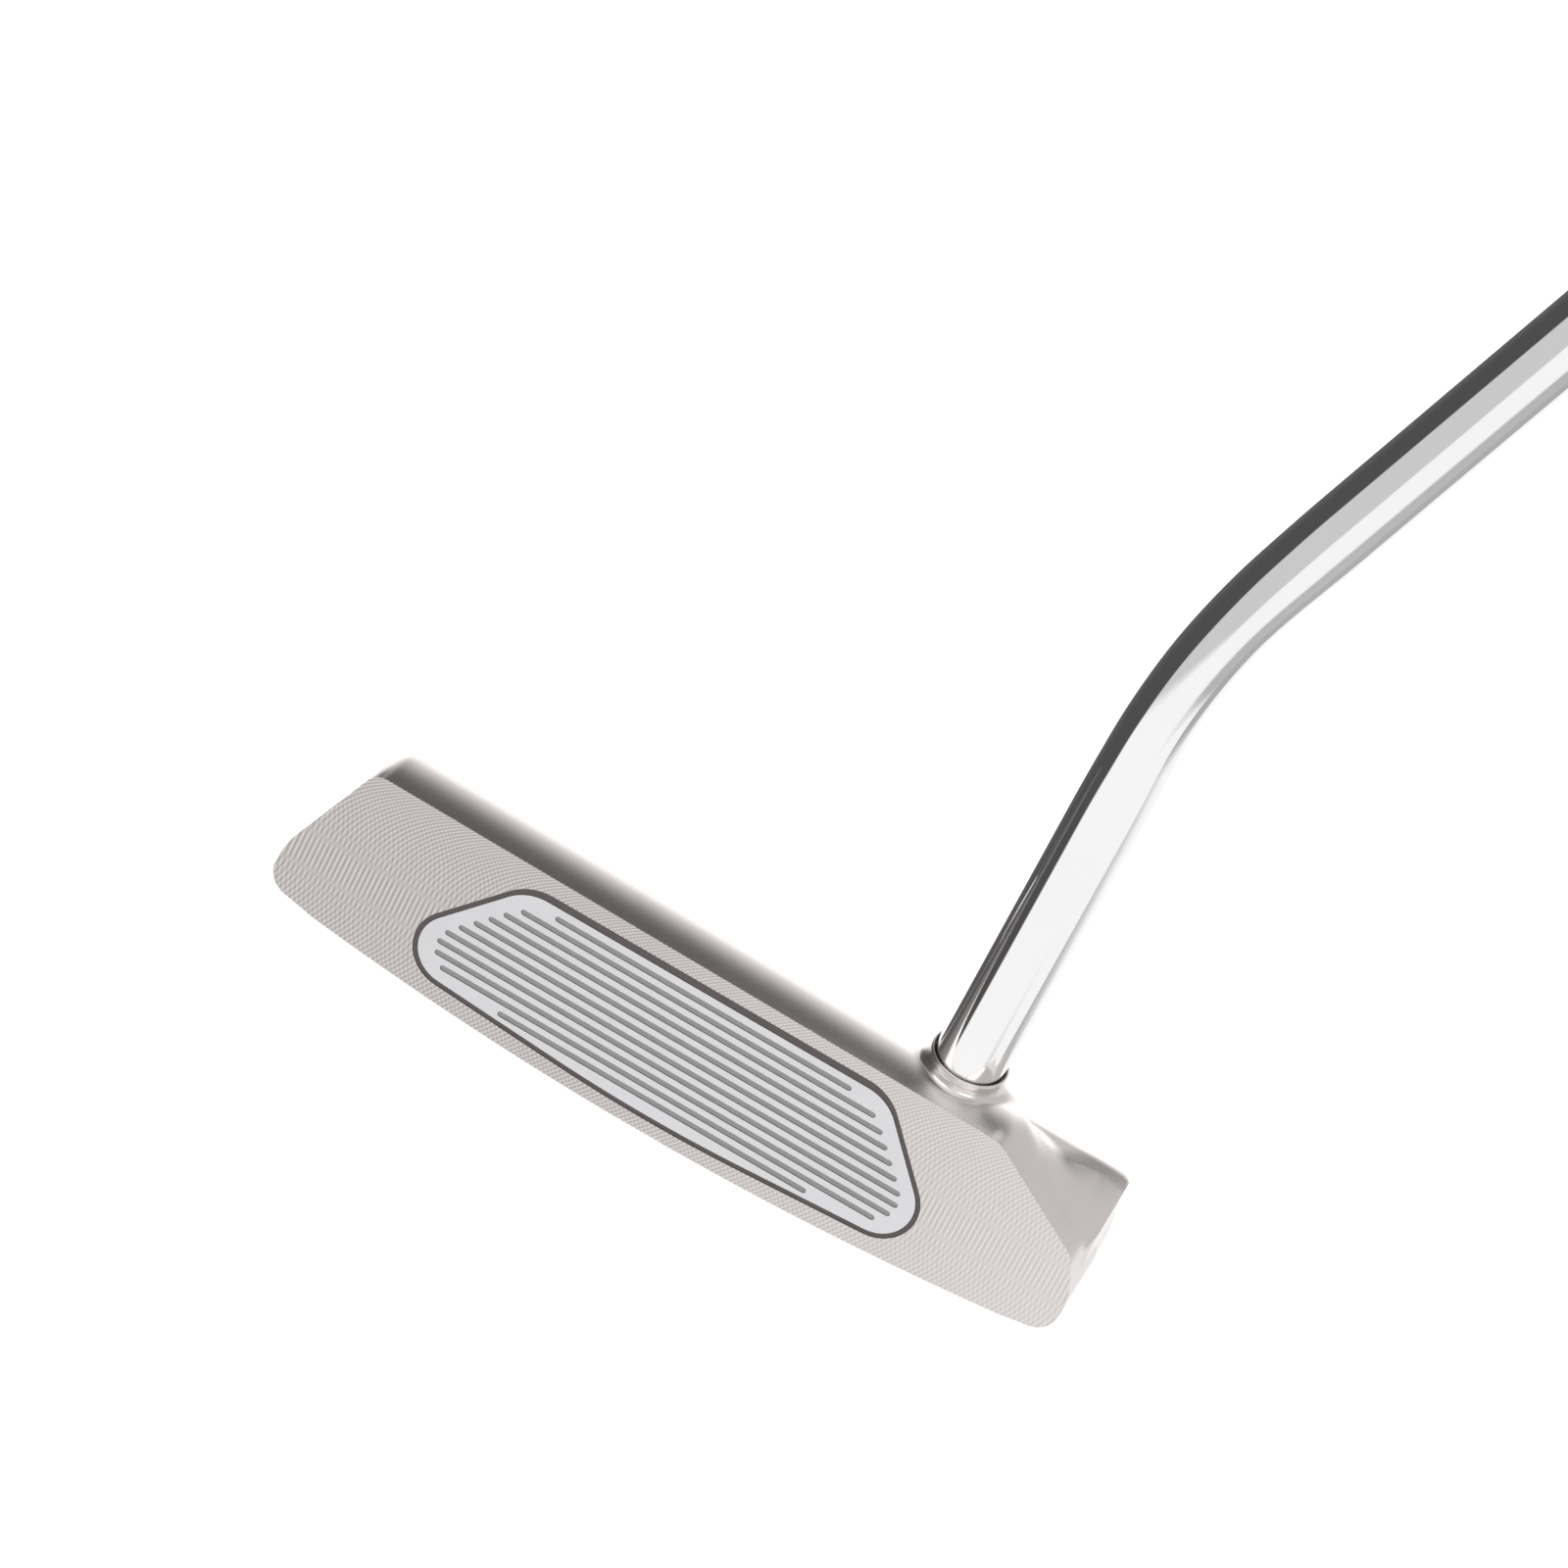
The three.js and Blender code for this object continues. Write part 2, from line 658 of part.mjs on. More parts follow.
const STEEL = { color: 0xb9b1af, roughness: 0.42, metalness: 1 };
const CHROME = { color: 0xe8e8ea, roughness: 0.06, metalness: 1 };
const ALUMINIUM = { color: 0xcfd2d8, roughness: 0.38, metalness: 1 };
const INFILL = { color: 0x8a8c90, roughness: 0.7, metalness: 0 };
const DARK_RING = { color: 0x2c2629, roughness: 0.6, metalness: 0 };
const ADHESIVE = { color: 0xc9b27a, roughness: 0.5, metalness: 0 };
const TUNGSTEN = { color: 0x9a9896, roughness: 0.35, metalness: 1 };
const RUBBER = { color: 0x1c1c1e, roughness: 0.85, metalness: 0 };
const FOAM = { color: 0x2e2e30, roughness: 0.95, metalness: 0 };
const PAINT = { color: 0xf2f2f0, roughness: 0.5, metalness: 0 };

const putter = new THREE.Group();

function addPiece(name, manifold, look) {
  const mesh = new THREE.Mesh(geometryOf(manifold), new THREE.MeshStandardMaterial(look));
  mesh.name = name;
  putter.add(mesh);
}

addPiece("head_body", headBody(), STEEL);
addPiece("insert_plate", insertPlate(), ALUMINIUM);
addPiece("insert_core", insertCore(), INFILL);
addPiece("insert_ring", insertRing(), DARK_RING);
addPiece("insert_bond_film", insertFilm(), ADHESIVE);
for (const [name, side] of [["toe", -1], ["heel", 1]]) {
  addPiece(`${name}_sole_weight`, soleWeight(side), TUNGSTEN);
  addPiece(`${name}_weight_seal`, weightSeal(side), RUBBER);
}
addPiece("sight_line_paint", solid(sightLine(0.1)), PAINT);
addPiece("hosel_bond", hoselBond(), ADHESIVE);
addPiece("shaft", shaft(), CHROME);
addPiece("grip_tape", gripTape(), ADHESIVE);
addPiece("grip_underlisting", gripUnderlisting(), FOAM);
addPiece("grip_skin", gripSkin(), RUBBER);
addPiece("grip_cap", gripCap(), RUBBER);

export default putter;
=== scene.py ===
"""Looks for a heel-shafted blade putter at address: milled head, slotted insert, chrome shaft, grip.

Lengths here are millimetres in the row's own frame, and MM turns them into Blender's metres.
-X is the toe, +X the heel, the strike face looks towards -Y, and the sole's flat is at the origin.
"""
import math

import bmesh
import bpy
import numpy as np
from mathutils import Matrix, Vector


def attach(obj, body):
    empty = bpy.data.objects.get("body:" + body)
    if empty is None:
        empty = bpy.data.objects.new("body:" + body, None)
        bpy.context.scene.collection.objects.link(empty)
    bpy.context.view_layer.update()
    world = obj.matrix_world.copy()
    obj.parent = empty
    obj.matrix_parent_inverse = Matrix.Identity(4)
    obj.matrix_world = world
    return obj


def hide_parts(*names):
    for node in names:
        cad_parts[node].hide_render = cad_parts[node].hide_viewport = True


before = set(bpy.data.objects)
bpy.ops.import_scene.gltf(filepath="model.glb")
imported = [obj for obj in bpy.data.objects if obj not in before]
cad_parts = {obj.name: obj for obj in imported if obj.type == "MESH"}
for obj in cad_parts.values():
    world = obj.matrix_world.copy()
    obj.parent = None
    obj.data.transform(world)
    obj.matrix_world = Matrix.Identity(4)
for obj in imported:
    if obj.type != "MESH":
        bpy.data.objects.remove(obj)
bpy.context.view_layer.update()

MM = 0.001

# ---- driving dimensions, shared with the CAD ----------------------------------------------

LOFT = math.radians(3)
LIE = math.radians(71.5)
CLUB_LENGTH = 864.0
FACE_Y = -13.0
BLADE_THICK = 13.2
BACK_Y = 14.97
SOLE_RADIUS = 400.0
SOLE_SINK = 0.15
BUMPER_TOP = 21.5
FLANGE_TOP = 7.5
POCKET_DEPTH = 3.7
RIM = np.array([32.2, -3.5, 29.3])
TIP_LEAN = math.radians(5)
TIP_TILT = math.radians(0.5)
SHAFT_R = 4.7
BORE_R = 4.95
BORE_DEPTH = 18.0
BORE_INNER = 4.4  # the contoured part of the head reaches just inside the shaft's skin
RIM_DEPTH = 1.0  # height of the collar's finely turned rim
TIP = np.array([
    math.sin(TIP_TILT) * math.cos(TIP_LEAN),
    -math.sin(TIP_LEAN),
    math.cos(TIP_TILT) * math.cos(TIP_LEAN),
])
TOP = np.array([math.cos(LIE), 0.0, math.sin(LIE)])

# ---- camera -------------------------------------------------------------------------------

CAM_ELEVATION = math.radians(32)
CAM_AZIMUTH = math.radians(5)
CAM_ROLL = math.radians(27.34)
CAM_DISTANCE = 1000.0
CAM_LENS = 182.06
CAM_AIM = (-3.53, 46.8)  # right and up of the middle of the face's foot, across the view
CAM_AIM_HEIGHT = 1.3


def add_camera():
    e, a, roll = CAM_ELEVATION, CAM_AZIMUTH, CAM_ROLL
    back = Vector((math.sin(a) * math.cos(e), -math.cos(a) * math.cos(e), math.sin(e)))
    right = Vector((math.cos(a), math.sin(a), 0))
    up = back.cross(right)
    aim = right * CAM_AIM[0] + up * CAM_AIM[1] + Vector((0, FACE_Y, CAM_AIM_HEIGHT))
    place = aim + back * CAM_DISTANCE
    x_axis = right * math.cos(roll) + up * math.sin(roll)
    y_axis = up * math.cos(roll) - right * math.sin(roll)
    data = bpy.data.cameras.new("camera")
    data.sensor_width = 36
    data.lens = CAM_LENS
    data.clip_start = 0.01
    data.clip_end = 100
    camera = bpy.data.objects.new("camera", data)
    bpy.context.scene.collection.objects.link(camera)
    turn = Matrix((x_axis, y_axis, back)).transposed()
    camera.matrix_world = Matrix.Translation(place * MM) @ turn.to_4x4()
    bpy.context.scene.camera = camera


add_camera()

# ---- node material helpers ----------------------------------------------------------------


class Nodes:
    """Builds one material's node tree with short calls."""

    def __init__(self, name):
        self.material = bpy.data.materials.new(name)
        self.material.use_nodes = True
        self.tree = self.material.node_tree
        self.tree.nodes.clear()
        self.shader = self.new("ShaderNodeBsdfPrincipled")
        out = self.new("ShaderNodeOutputMaterial")
        self.tree.links.new(self.shader.outputs[0], out.inputs[0])
        self.place = self.new("ShaderNodeTexCoord").outputs["Object"]

    def new(self, kind, **settings):
        node = self.tree.nodes.new(kind)
        for key, value in settings.items():
            setattr(node, key, value)
        return node

    def feed(self, socket, value):
        if isinstance(value, bpy.types.NodeSocket):
            self.tree.links.new(value, socket)
        else:
            socket.default_value = value

    def math(self, operation, *values, clamp=False):
        node = self.new("ShaderNodeMath", operation=operation, use_clamp=clamp)
        for socket, value in zip(node.inputs, values):
            self.feed(socket, value)
        return node.outputs[0]

    def split(self, vector):
        node = self.new("ShaderNodeSeparateXYZ")
        self.feed(node.inputs[0], vector)
        return node.outputs

    def stretched(self, scale):
        node = self.new("ShaderNodeMapping")
        self.feed(node.inputs["Vector"], self.place)
        node.inputs["Scale"].default_value = scale
        return node.outputs[0]

    def noise(self, size, detail=3.0, vector=None):
        """Noise whose features are about size millimetres across."""
        node = self.new("ShaderNodeTexNoise")
        self.feed(node.inputs["Vector"], vector or self.place)
        node.inputs["Scale"].default_value = 1 / (size * MM)
        node.inputs["Detail"].default_value = detail
        return node.outputs["Fac"]

    def cells(self, size):
        node = self.new("ShaderNodeTexVoronoi")
        self.feed(node.inputs["Vector"], self.place)
        node.inputs["Scale"].default_value = 1 / (size * MM)
        return node.outputs["Distance"]

    def ranged(self, value, low, high, to_low=0.0, to_high=1.0):
        node = self.new("ShaderNodeMapRange", clamp=True)
        for socket, item in zip(node.inputs, (value, low, high, to_low, to_high)):
            self.feed(socket, item)
        return node.outputs[0]

    def blend(self, factor, a, b):
        node = self.new("ShaderNodeMix", data_type="RGBA")
        self.feed(node.inputs[0], factor)
        self.feed(node.inputs[6], a)
        self.feed(node.inputs[7], b)
        return node.outputs[2]

    def bump(self, height, distance, normal=None):
        """Bump whose full height is distance millimetres."""
        node = self.new("ShaderNodeBump")
        node.inputs["Distance"].default_value = distance * MM
        self.feed(node.inputs["Height"], height)
        if normal:
            self.feed(node.inputs["Normal"], normal)
        return node.outputs[0]

    def along(self, direction, offset=0.0):
        """Distance in millimetres along a direction of the row's frame."""
        node = self.new("ShaderNodeVectorMath", operation="DOT_PRODUCT")
        self.feed(node.inputs[0], self.place)
        node.inputs[1].default_value = tuple(float(c) / MM for c in direction)
        return self.math("ADD", node.outputs["Value"], offset)

    def finish(self, **values):
        for key, value in values.items():
            self.feed(self.shader.inputs[key.replace("_", " ")], value)
        return self.material


def colour(level, warm=0.0):
    return (level * (1 + warm), level, level * (1 - warm), 1.0)


# ---- materials ----------------------------------------------------------------------------

CUTTER_R = 17.0  # radius of the fly cutter that leaves arcs on the face
CUTTER_FEED = 0.665
CUTTER_HEIGHT = 12.2  # height of the cutter's centre up the face
FACE_UP = (0, math.sin(LOFT), math.cos(LOFT))
FACE_IN = (0, math.cos(LOFT), -math.sin(LOFT))


def face_coordinates(n):
    along = n.along((1, 0, 0))
    up = n.along(FACE_UP, -FACE_Y * math.sin(LOFT))
    depth = n.along(FACE_IN, -FACE_Y * math.cos(LOFT))
    return along, up, depth


def cutter_marks(n, along, up):
    """Cross-hatch of the arcs that the front and the rear of a rotating cutter leave."""
    height = n.math("SUBTRACT", up, CUTTER_HEIGHT)
    square = n.math("MULTIPLY", height, height)
    reach = n.math("SQRT", n.math("MAXIMUM", n.math("SUBTRACT", CUTTER_R ** 2, square), 0.0))
    turns = 2 * math.pi / CUTTER_FEED
    front = n.math("SINE", n.math("MULTIPLY", n.math("SUBTRACT", along, reach), turns))
    rear = n.math("SINE", n.math("MULTIPLY", n.math("ADD", along, reach), turns))
    share = n.ranged(height, -9, 9, 0.34, 0.66)
    both = n.math("ADD", n.math("MULTIPLY", rear, share),
                  n.math("MULTIPLY", front, n.math("SUBTRACT", 1.0, share)))
    return n.math("MULTIPLY_ADD", both, 0.5, 0.5)


def head_steel():
    n = Nodes("head_steel")
    along, up, depth = face_coordinates(n)
    marks = cutter_marks(n, along, up)
    on_face = n.ranged(depth, 0.03, 0.06, 1.0, 0.0)
    cloud = n.noise(6.0, 2.0)
    grain = n.noise(0.12, 2.0)
    plain = n.blend(cloud, (0.60, 0.565, 0.55, 1), (0.65, 0.615, 0.605, 1))
    # low and high are shaded and lit copies of the steel: the cutter's arcs carry painted shade and
    # painted highlight in the face's colour, on top of their bump
    low = n.blend(cloud, (0.44, 0.405, 0.40, 1), (0.48, 0.45, 0.435, 1))
    high = n.blend(cloud, (0.80, 0.76, 0.74, 1), (0.80, 0.745, 0.745, 1))
    milled = n.blend(marks, low, high)
    tint = n.blend(on_face, plain, milled)
    # painted highlight: the steel's colour lightens towards the heel, standing in for the white
    # surroundings that the heel's surfaces reflect
    heel_painted_highlight = n.ranged(along, -10.0, 55.0, 0.0, 0.45)
    tint = n.blend(heel_painted_highlight, tint, (0.96, 0.915, 0.905, 1))
    rough = n.math("ADD", n.math("MULTIPLY", on_face, 0.12), n.ranged(grain, 0.3, 0.7, 0.24, 0.30))
    fine = n.bump(grain, 0.0012)
    cut = n.bump(n.math("MULTIPLY", marks, on_face), 0.012, fine)
    return n.finish(Base_Color=tint, Metallic=1.0, Roughness=rough, Normal=cut)


def insert_aluminium():
    n = Nodes("insert_aluminium")
    blast = n.noise(0.16, 2.0)
    cloud = n.noise(5.0, 2.0)
    tint = n.blend(cloud, (0.77, 0.77, 0.80, 1), (0.82, 0.82, 0.845, 1))
    rough = n.ranged(blast, 0.3, 0.7, 0.36, 0.44)
    return n.finish(Base_Color=tint, Metallic=1.0, Roughness=rough, Normal=n.bump(blast, 0.004))


def polymer(name, low, high, rough, grain=0.25, height=0.01):
    n = Nodes(name)
    tint = n.blend(n.noise(grain * 6, 4.0), low, high)
    texture = n.noise(grain, 3.0)
    roughness = n.ranged(texture, 0.3, 0.7, rough - 0.06, rough + 0.06)
    return n.finish(Base_Color=tint, Roughness=roughness, Normal=n.bump(texture, height))


def chrome():
    n = Nodes("shaft_chrome")
    drawn = n.noise(0.5, 4.0, n.stretched((1.0, 1.0, 0.02)))
    haze = n.noise(14.0, 2.0)
    rough = n.math("ADD", n.ranged(drawn, 0.35, 0.75, 0.018, 0.045), n.ranged(haze, 0.4, 0.7, 0.0, 0.012))
    tint = n.blend(haze, (0.93, 0.925, 0.925, 1), (0.90, 0.90, 0.905, 1))
    return n.finish(Base_Color=tint, Metallic=1.0, Roughness=rough, Normal=n.bump(drawn, 0.0004))


def turned_metal(name, centre):
    """Metal with the fine rings that a lathe leaves round a vertical axis through centre."""
    n = Nodes(name)
    x = n.along((1, 0, 0), -centre[0])
    y = n.along((0, 1, 0), -centre[1])
    out = n.math("SQRT", n.math("ADD", n.math("MULTIPLY", x, x), n.math("MULTIPLY", y, y)))
    rings = n.math("MULTIPLY_ADD", n.math("SINE", n.math("MULTIPLY", out, 2 * math.pi / 0.28)), 0.5, 0.5)
    uneven = n.math("MULTIPLY", rings, n.ranged(n.noise(1.5), 0.3, 0.7, 0.5, 1.0))
    tint = n.blend(uneven, (0.42, 0.41, 0.40, 1), (0.52, 0.51, 0.50, 1))
    rough = n.ranged(uneven, 0.0, 1.0, 0.26, 0.36)
    return n.finish(Base_Color=tint, Metallic=1.0, Roughness=rough, Normal=n.bump(uneven, 0.008))


def grip_rubber(name, level):
    n = Nodes(name)
    pebble = n.cells(0.7)
    dust = n.noise(9.0, 5.0)
    tint = n.blend(n.ranged(dust, 0.4, 0.75), colour(level, 0.02), colour(level * 1.25, 0.03))
    rough = n.ranged(pebble, 0.0, 0.6, 0.72, 0.58)
    return n.finish(Base_Color=tint, Roughness=rough, Normal=n.bump(pebble, 0.06))


def crepe_tape():
    n = Nodes("tape")
    ribs = n.noise(0.6, 3.0, n.stretched((1.0, 1.0, 3.0)))
    tint = n.blend(ribs, (0.52, 0.42, 0.26, 1), (0.70, 0.60, 0.42, 1))
    return n.finish(Base_Color=tint, Roughness=0.8, Normal=n.bump(ribs, 0.05))


# ---- mesh helpers -------------------------------------------------------------------------


def make_piece(name, vertices, faces, material, replaced=(), sharp=None):
    mesh = bpy.data.meshes.new(name)
    mesh.from_pydata([tuple(v) for v in np.asarray(vertices) * MM], [], faces)
    return finish_piece(name, mesh, material, replaced, sharp)


def finish_piece(name, mesh, material, replaced=(), sharp=None):
    work = bmesh.new()
    work.from_mesh(mesh)
    bmesh.ops.recalc_face_normals(work, faces=work.faces)
    for face in work.faces:
        face.smooth = True
    if sharp is not None:
        limit = math.radians(sharp)
        for edge in work.edges:
            if len(edge.link_faces) == 2 and edge.calc_face_angle() > limit:
                edge.smooth = False
    work.to_mesh(mesh)
    work.free()
    mesh.materials.append(material)
    piece = bpy.data.objects.new(name, mesh)
    bpy.context.scene.collection.objects.link(piece)
    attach(piece, "root")
    if replaced:
        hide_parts(*replaced)
    return piece


def rounded_outline(corners, divisions=10):
    """Closed outline; each corner is (x, y, radius) and is rounded by a tangent arc."""
    points = []
    count = len(corners)
    for i, (x, y, radius) in enumerate(corners):
        here = np.array([x, y], float)
        if radius == 0:
            points.append(here)
            continue
        before = np.array(corners[i - 1][:2], float) - here
        after = np.array(corners[(i + 1) % count][:2], float) - here
        before /= np.linalg.norm(before)
        after /= np.linalg.norm(after)
        half = math.acos(float(np.clip(before @ after, -1, 1))) / 2
        middle = (before + after) / np.linalg.norm(before + after)
        centre = here + middle * radius / math.sin(half)
        run = radius / math.tan(half)
        first = here + before * run - centre
        last = here + after * run - centre
        start = math.atan2(first[1], first[0])
        sweep = math.atan2(last[1], last[0]) - start
        sweep = (sweep + math.pi) % (2 * math.pi) - math.pi
        for k in range(divisions + 1):
            a = start + sweep * k / divisions
            points.append(centre + radius * np.array([math.cos(a), math.sin(a)]))
    return np.array(points)


def face_to_model(x, depth, up):
    """From the lofted frame (along, into the head, up the face) to the model's frame."""
    y = FACE_Y + depth * math.cos(LOFT) + up * math.sin(LOFT)
    z = -depth * math.sin(LOFT) + up * math.cos(LOFT)
    return np.stack(np.broadcast_arrays(x, y, z), -1)


def loft_rings(rings, closed_path=True):
    """Quads over a list of rings of equal length; closed_path joins the last ring to the first."""
    count = len(rings[0])
    vertices = np.concatenate(rings)
    faces = []
    spans = len(rings) if closed_path else len(rings) - 1
    for i in range(spans):
        a = i * count
        b = ((i + 1) % len(rings)) * count
        for k in range(count):
            m = (k + 1) % count
            faces.append((a + k, a + m, b + m, b + k))
    return vertices, faces


def lathe(profile, origin, axis, sides, closed=False):
    """profile is (radius, height) pairs; a radius of 0 at an end makes a pole."""
    axis = np.asarray(axis, float)
    u = np.cross(axis, [0.0, 1.0, 0.0])
    u /= np.linalg.norm(u)
    v = np.cross(axis, u)
    angles = 2 * np.pi * np.arange(sides) / sides
    around = np.outer(np.cos(angles), u) + np.outer(np.sin(angles), v)
    vertices = []
    rows = []
    for r, h in profile:
        centre = np.asarray(origin, float) + axis * h
        if r == 0:
            rows.append([len(vertices)] * sides)
            vertices.append(centre)
        else:
            rows.append(list(range(len(vertices), len(vertices) + sides)))
            vertices.extend(centre + around * r)
    faces = []
    pairs = list(zip(rows, rows[1:])) + ([(rows[-1], rows[0])] if closed else [])
    for a, b in pairs:
        for k in range(sides):
            m = (k + 1) % sides
            corner = [a[k], a[m], b[m], b[k]]
            faces.append(tuple(dict.fromkeys(corner)))
    return vertices, faces


# ---- solid modelling with distance fields ---------------------------------------------------


def outline_distance(px, py, outline):
    """Signed distance from points to a closed outline, negative inside."""
    best = np.full(px.shape, np.inf)
    inside = np.zeros(px.shape, bool)
    for (ax, ay), (bx, by) in zip(outline, np.roll(outline, -1, axis=0)):
        ex, ey = bx - ax, by - ay
        length = ex * ex + ey * ey
        if length < 1e-12:
            continue
        t = np.clip(((px - ax) * ex + (py - ay) * ey) / length, 0, 1)
        best = np.minimum(best, (px - ax - ex * t) ** 2 + (py - ay - ey * t) ** 2)
        crosses = (ay > py) != (by > py)
        inside ^= crosses & (px < ex * (py - ay) / (ey or 1e-12) + ax)
    return np.where(inside, -1.0, 1.0) * np.sqrt(best)


class Field:
    """A two-dimensional outline's signed distance, sampled once and interpolated."""

    def __init__(self, outline, low, high, step=0.15):
        self.low = np.array(low, float)
        self.step = step
        nx, ny = (int(round((high[k] - low[k]) / step)) + 1 for k in (0, 1))
        gx, gy = np.meshgrid(low[0] + step * np.arange(nx), low[1] + step * np.arange(ny), indexing="ij")
        self.values = outline_distance(gx, gy, outline)

    def __call__(self, x, y):
        u = np.clip((x - self.low[0]) / self.step, 0, self.values.shape[0] - 1.001)
        v = np.clip((y - self.low[1]) / self.step, 0, self.values.shape[1] - 1.001)
        i = u.astype(int)
        j = v.astype(int)
        fu, fv = u - i, v - j
        a, b = self.values[i, j], self.values[i + 1, j]
        c, d = self.values[i, j + 1], self.values[i + 1, j + 1]
        return (a * (1 - fu) + b * fu) * (1 - fv) + (c * (1 - fu) + d * fu) * fv


def eased(value, low, high):
    """0 below low, 1 above high, and a smooth rise between them."""
    t = np.clip((value - low) / (high - low), 0, 1)
    return t * t * (3 - 2 * t)


def soft_min(a, b, k):
    h = np.maximum(k - np.abs(a - b), 0) / k
    return np.minimum(a, b) - h * h * k / 4


def soft_max(a, b, k):
    return -soft_min(-a, -b, k)


def round_max(a, b, r):
    """Intersection of two solids with an edge rounded to radius r."""
    outer = np.sqrt(np.maximum(a + r, 0) ** 2 + np.maximum(b + r, 0) ** 2) - r
    return np.where((a > -r) & (b > -r), outer, np.maximum(a, b))


def contour_solid(field, xs, ws, ss):
    """Dual contouring of field(x, w, s) = 0 on a grid: vertices in (x, w, s) and quads."""
    axes = (xs, ws, ss)
    grid = np.meshgrid(*axes, indexing="ij")
    values = field(*grid)
    inside = values < 0
    shape = np.array(inside.shape)
    edges = []
    for k in range(3):
        lower = [slice(None)] * 3
        upper = [slice(None)] * 3
        lower[k] = slice(0, -1)
        upper[k] = slice(1, None)
        change = inside[tuple(lower)] != inside[tuple(upper)]
        at = np.argwhere(change)
        others = [m for m in range(3) if m != k]
        keep = np.all([(at[:, m] > 0) & (at[:, m] < shape[m] - 1) for m in others], axis=0)
        at = at[keep]
        nxt = at.copy()
        nxt[:, k] += 1
        a = np.stack([axes[m][at[:, m]] for m in range(3)], -1)
        b = np.stack([axes[m][nxt[:, m]] for m in range(3)], -1)
        edges.append((k, at, a, b, inside[tuple(at.T)]))
    a = np.concatenate([e[2] for e in edges])
    b = np.concatenate([e[3] for e in edges])
    start_in = np.concatenate([e[4] for e in edges])
    low = np.zeros(len(a))
    high = np.ones(len(a))
    for _ in range(12):
        mid = (low + high) / 2
        p = a + (b - a) * mid[:, None]
        same = (field(*p.T) < 0) == start_in
        low = np.where(same, mid, low)
        high = np.where(same, high, mid)
    points = a + (b - a) * ((low + high) / 2)[:, None]
    normals = np.zeros_like(points)
    reach = 0.02
    for m in range(3):
        shift = np.zeros(3)
        shift[m] = reach
        normals[:, m] = field(*(points + shift).T) - field(*(points - shift).T)
    normals /= np.maximum(np.linalg.norm(normals, axis=1), 1e-12)[:, None]

    cell_shape = shape - 1
    quads = []
    owner, edge_index = [], []
    base = 0
    for k, at, _, _, start in edges:
        m, n = [(1, 2), (2, 0), (0, 1)][k]
        around = []
        for dm, dn in ((-1, -1), (0, -1), (0, 0), (-1, 0)):
            c = at.copy()
            c[:, m] += dm
            c[:, n] += dn
            around.append(np.ravel_multi_index(c.T, cell_shape))
        around = np.stack(around, -1)
        for column in range(4):
            owner.append(around[:, column])
            edge_index.append(base + np.arange(len(at)))
        quads.append(np.where(start[:, None], around, around[:, ::-1]))
        base += len(at)
    owner = np.concatenate(owner)
    edge_index = np.concatenate(edge_index)
    used, cell = np.unique(owner, return_inverse=True)
    count = len(used)
    p = points[edge_index]
    n = normals[edge_index]
    hits = np.bincount(cell, minlength=count)
    mass = np.stack([np.bincount(cell, p[:, m], count) for m in range(3)], -1) / hits[:, None]
    local = p - mass[cell]
    reach_out = np.einsum("ij,ij->i", n, local)
    matrix = np.zeros((count, 3, 3))
    side = np.zeros((count, 3))
    for m in range(3):
        side[:, m] = np.bincount(cell, n[:, m] * reach_out, count)
        for q in range(3):
            matrix[:, m, q] = np.bincount(cell, n[:, m] * n[:, q], count)
    matrix += np.eye(3) * 0.02
    offset = np.linalg.solve(matrix, side[..., None])[..., 0]
    index = np.stack(np.unravel_index(used, cell_shape), -1)
    floor = np.stack([axes[m][index[:, m]] for m in range(3)], -1)
    roof = np.stack([axes[m][index[:, m] + 1] for m in range(3)], -1)
    vertices = np.clip(mass + offset, floor, roof)
    faces = np.searchsorted(used, np.concatenate(quads))
    return vertices, faces


# ---- head ---------------------------------------------------------------------------------

CROWN_R = 11.5  # cross-section of the topline: a large arc from the face edge over the crown
CROWN_START = math.radians(25)  # how far the arc leans back at the face edge
REAR_R = 3.5  # and a small arc down into the rear wall
CROWN_RISE = CROWN_R * (1 - math.cos(CROWN_START))
CROWN_AT = CROWN_R * math.sin(CROWN_START)
REAR_TURN = math.asin((BLADE_THICK - CROWN_AT - REAR_R) / (CROWN_R - REAR_R))
TOE_TAPER = 0.13  # how fast the toe end narrows towards the rear
HEEL_FLARE = 0.012
BODY_FRONT_Y = -8.5  # the rear body: bumpers, flange and sole
BODY_MIDDLE = 0.7
BODY_HALF = 57.6
REAR_CORNER_R = 8.0
BUMPER_BACK_Y = 4.4  # where the bumpers' flat tops end and slope down to the back edge
BACK_EDGE_Z = 9.5
SOLE_BACK_Y = 9.0  # where the sole turns up
SIGHT_LINE = (4.0, 13.0)
SIGHT_R = 0.8
SIGHT_DEPTH = 0.6


def sole_height(x):
    return x * x / (2 * SOLE_RADIUS)


def face_edge():
    """The strike face's own outline."""
    sole = [(x, 0.75 + sole_height(x), 0) for x in np.linspace(-49, 51, 26)]
    return rounded_outline([
        *sole, (57.6, 5.2, 3.4), (57.9, 10.6, 6), (55.7, 16.5, 4), (40.8, 25.75, 5),
        (-49.7, 26.7, 2.6), (-56.1, 11.5, 12), (-56.5, 5.3, 3.4),
    ], 12)


def rear_sides():
    """Toe and heel ends of the rear body, seen from the front, open at the top."""
    sole = [(x, sole_height(x) - 2, 0) for x in np.linspace(-50, 51, 26)]
    return rounded_outline([
        *sole, (57.9, 2.6, 4.5), (57.9, 60, 0), (-37.4, 60, 0), (-56.0, 10.5, 10), (-56.1, 3.0, 5),
    ], 12)


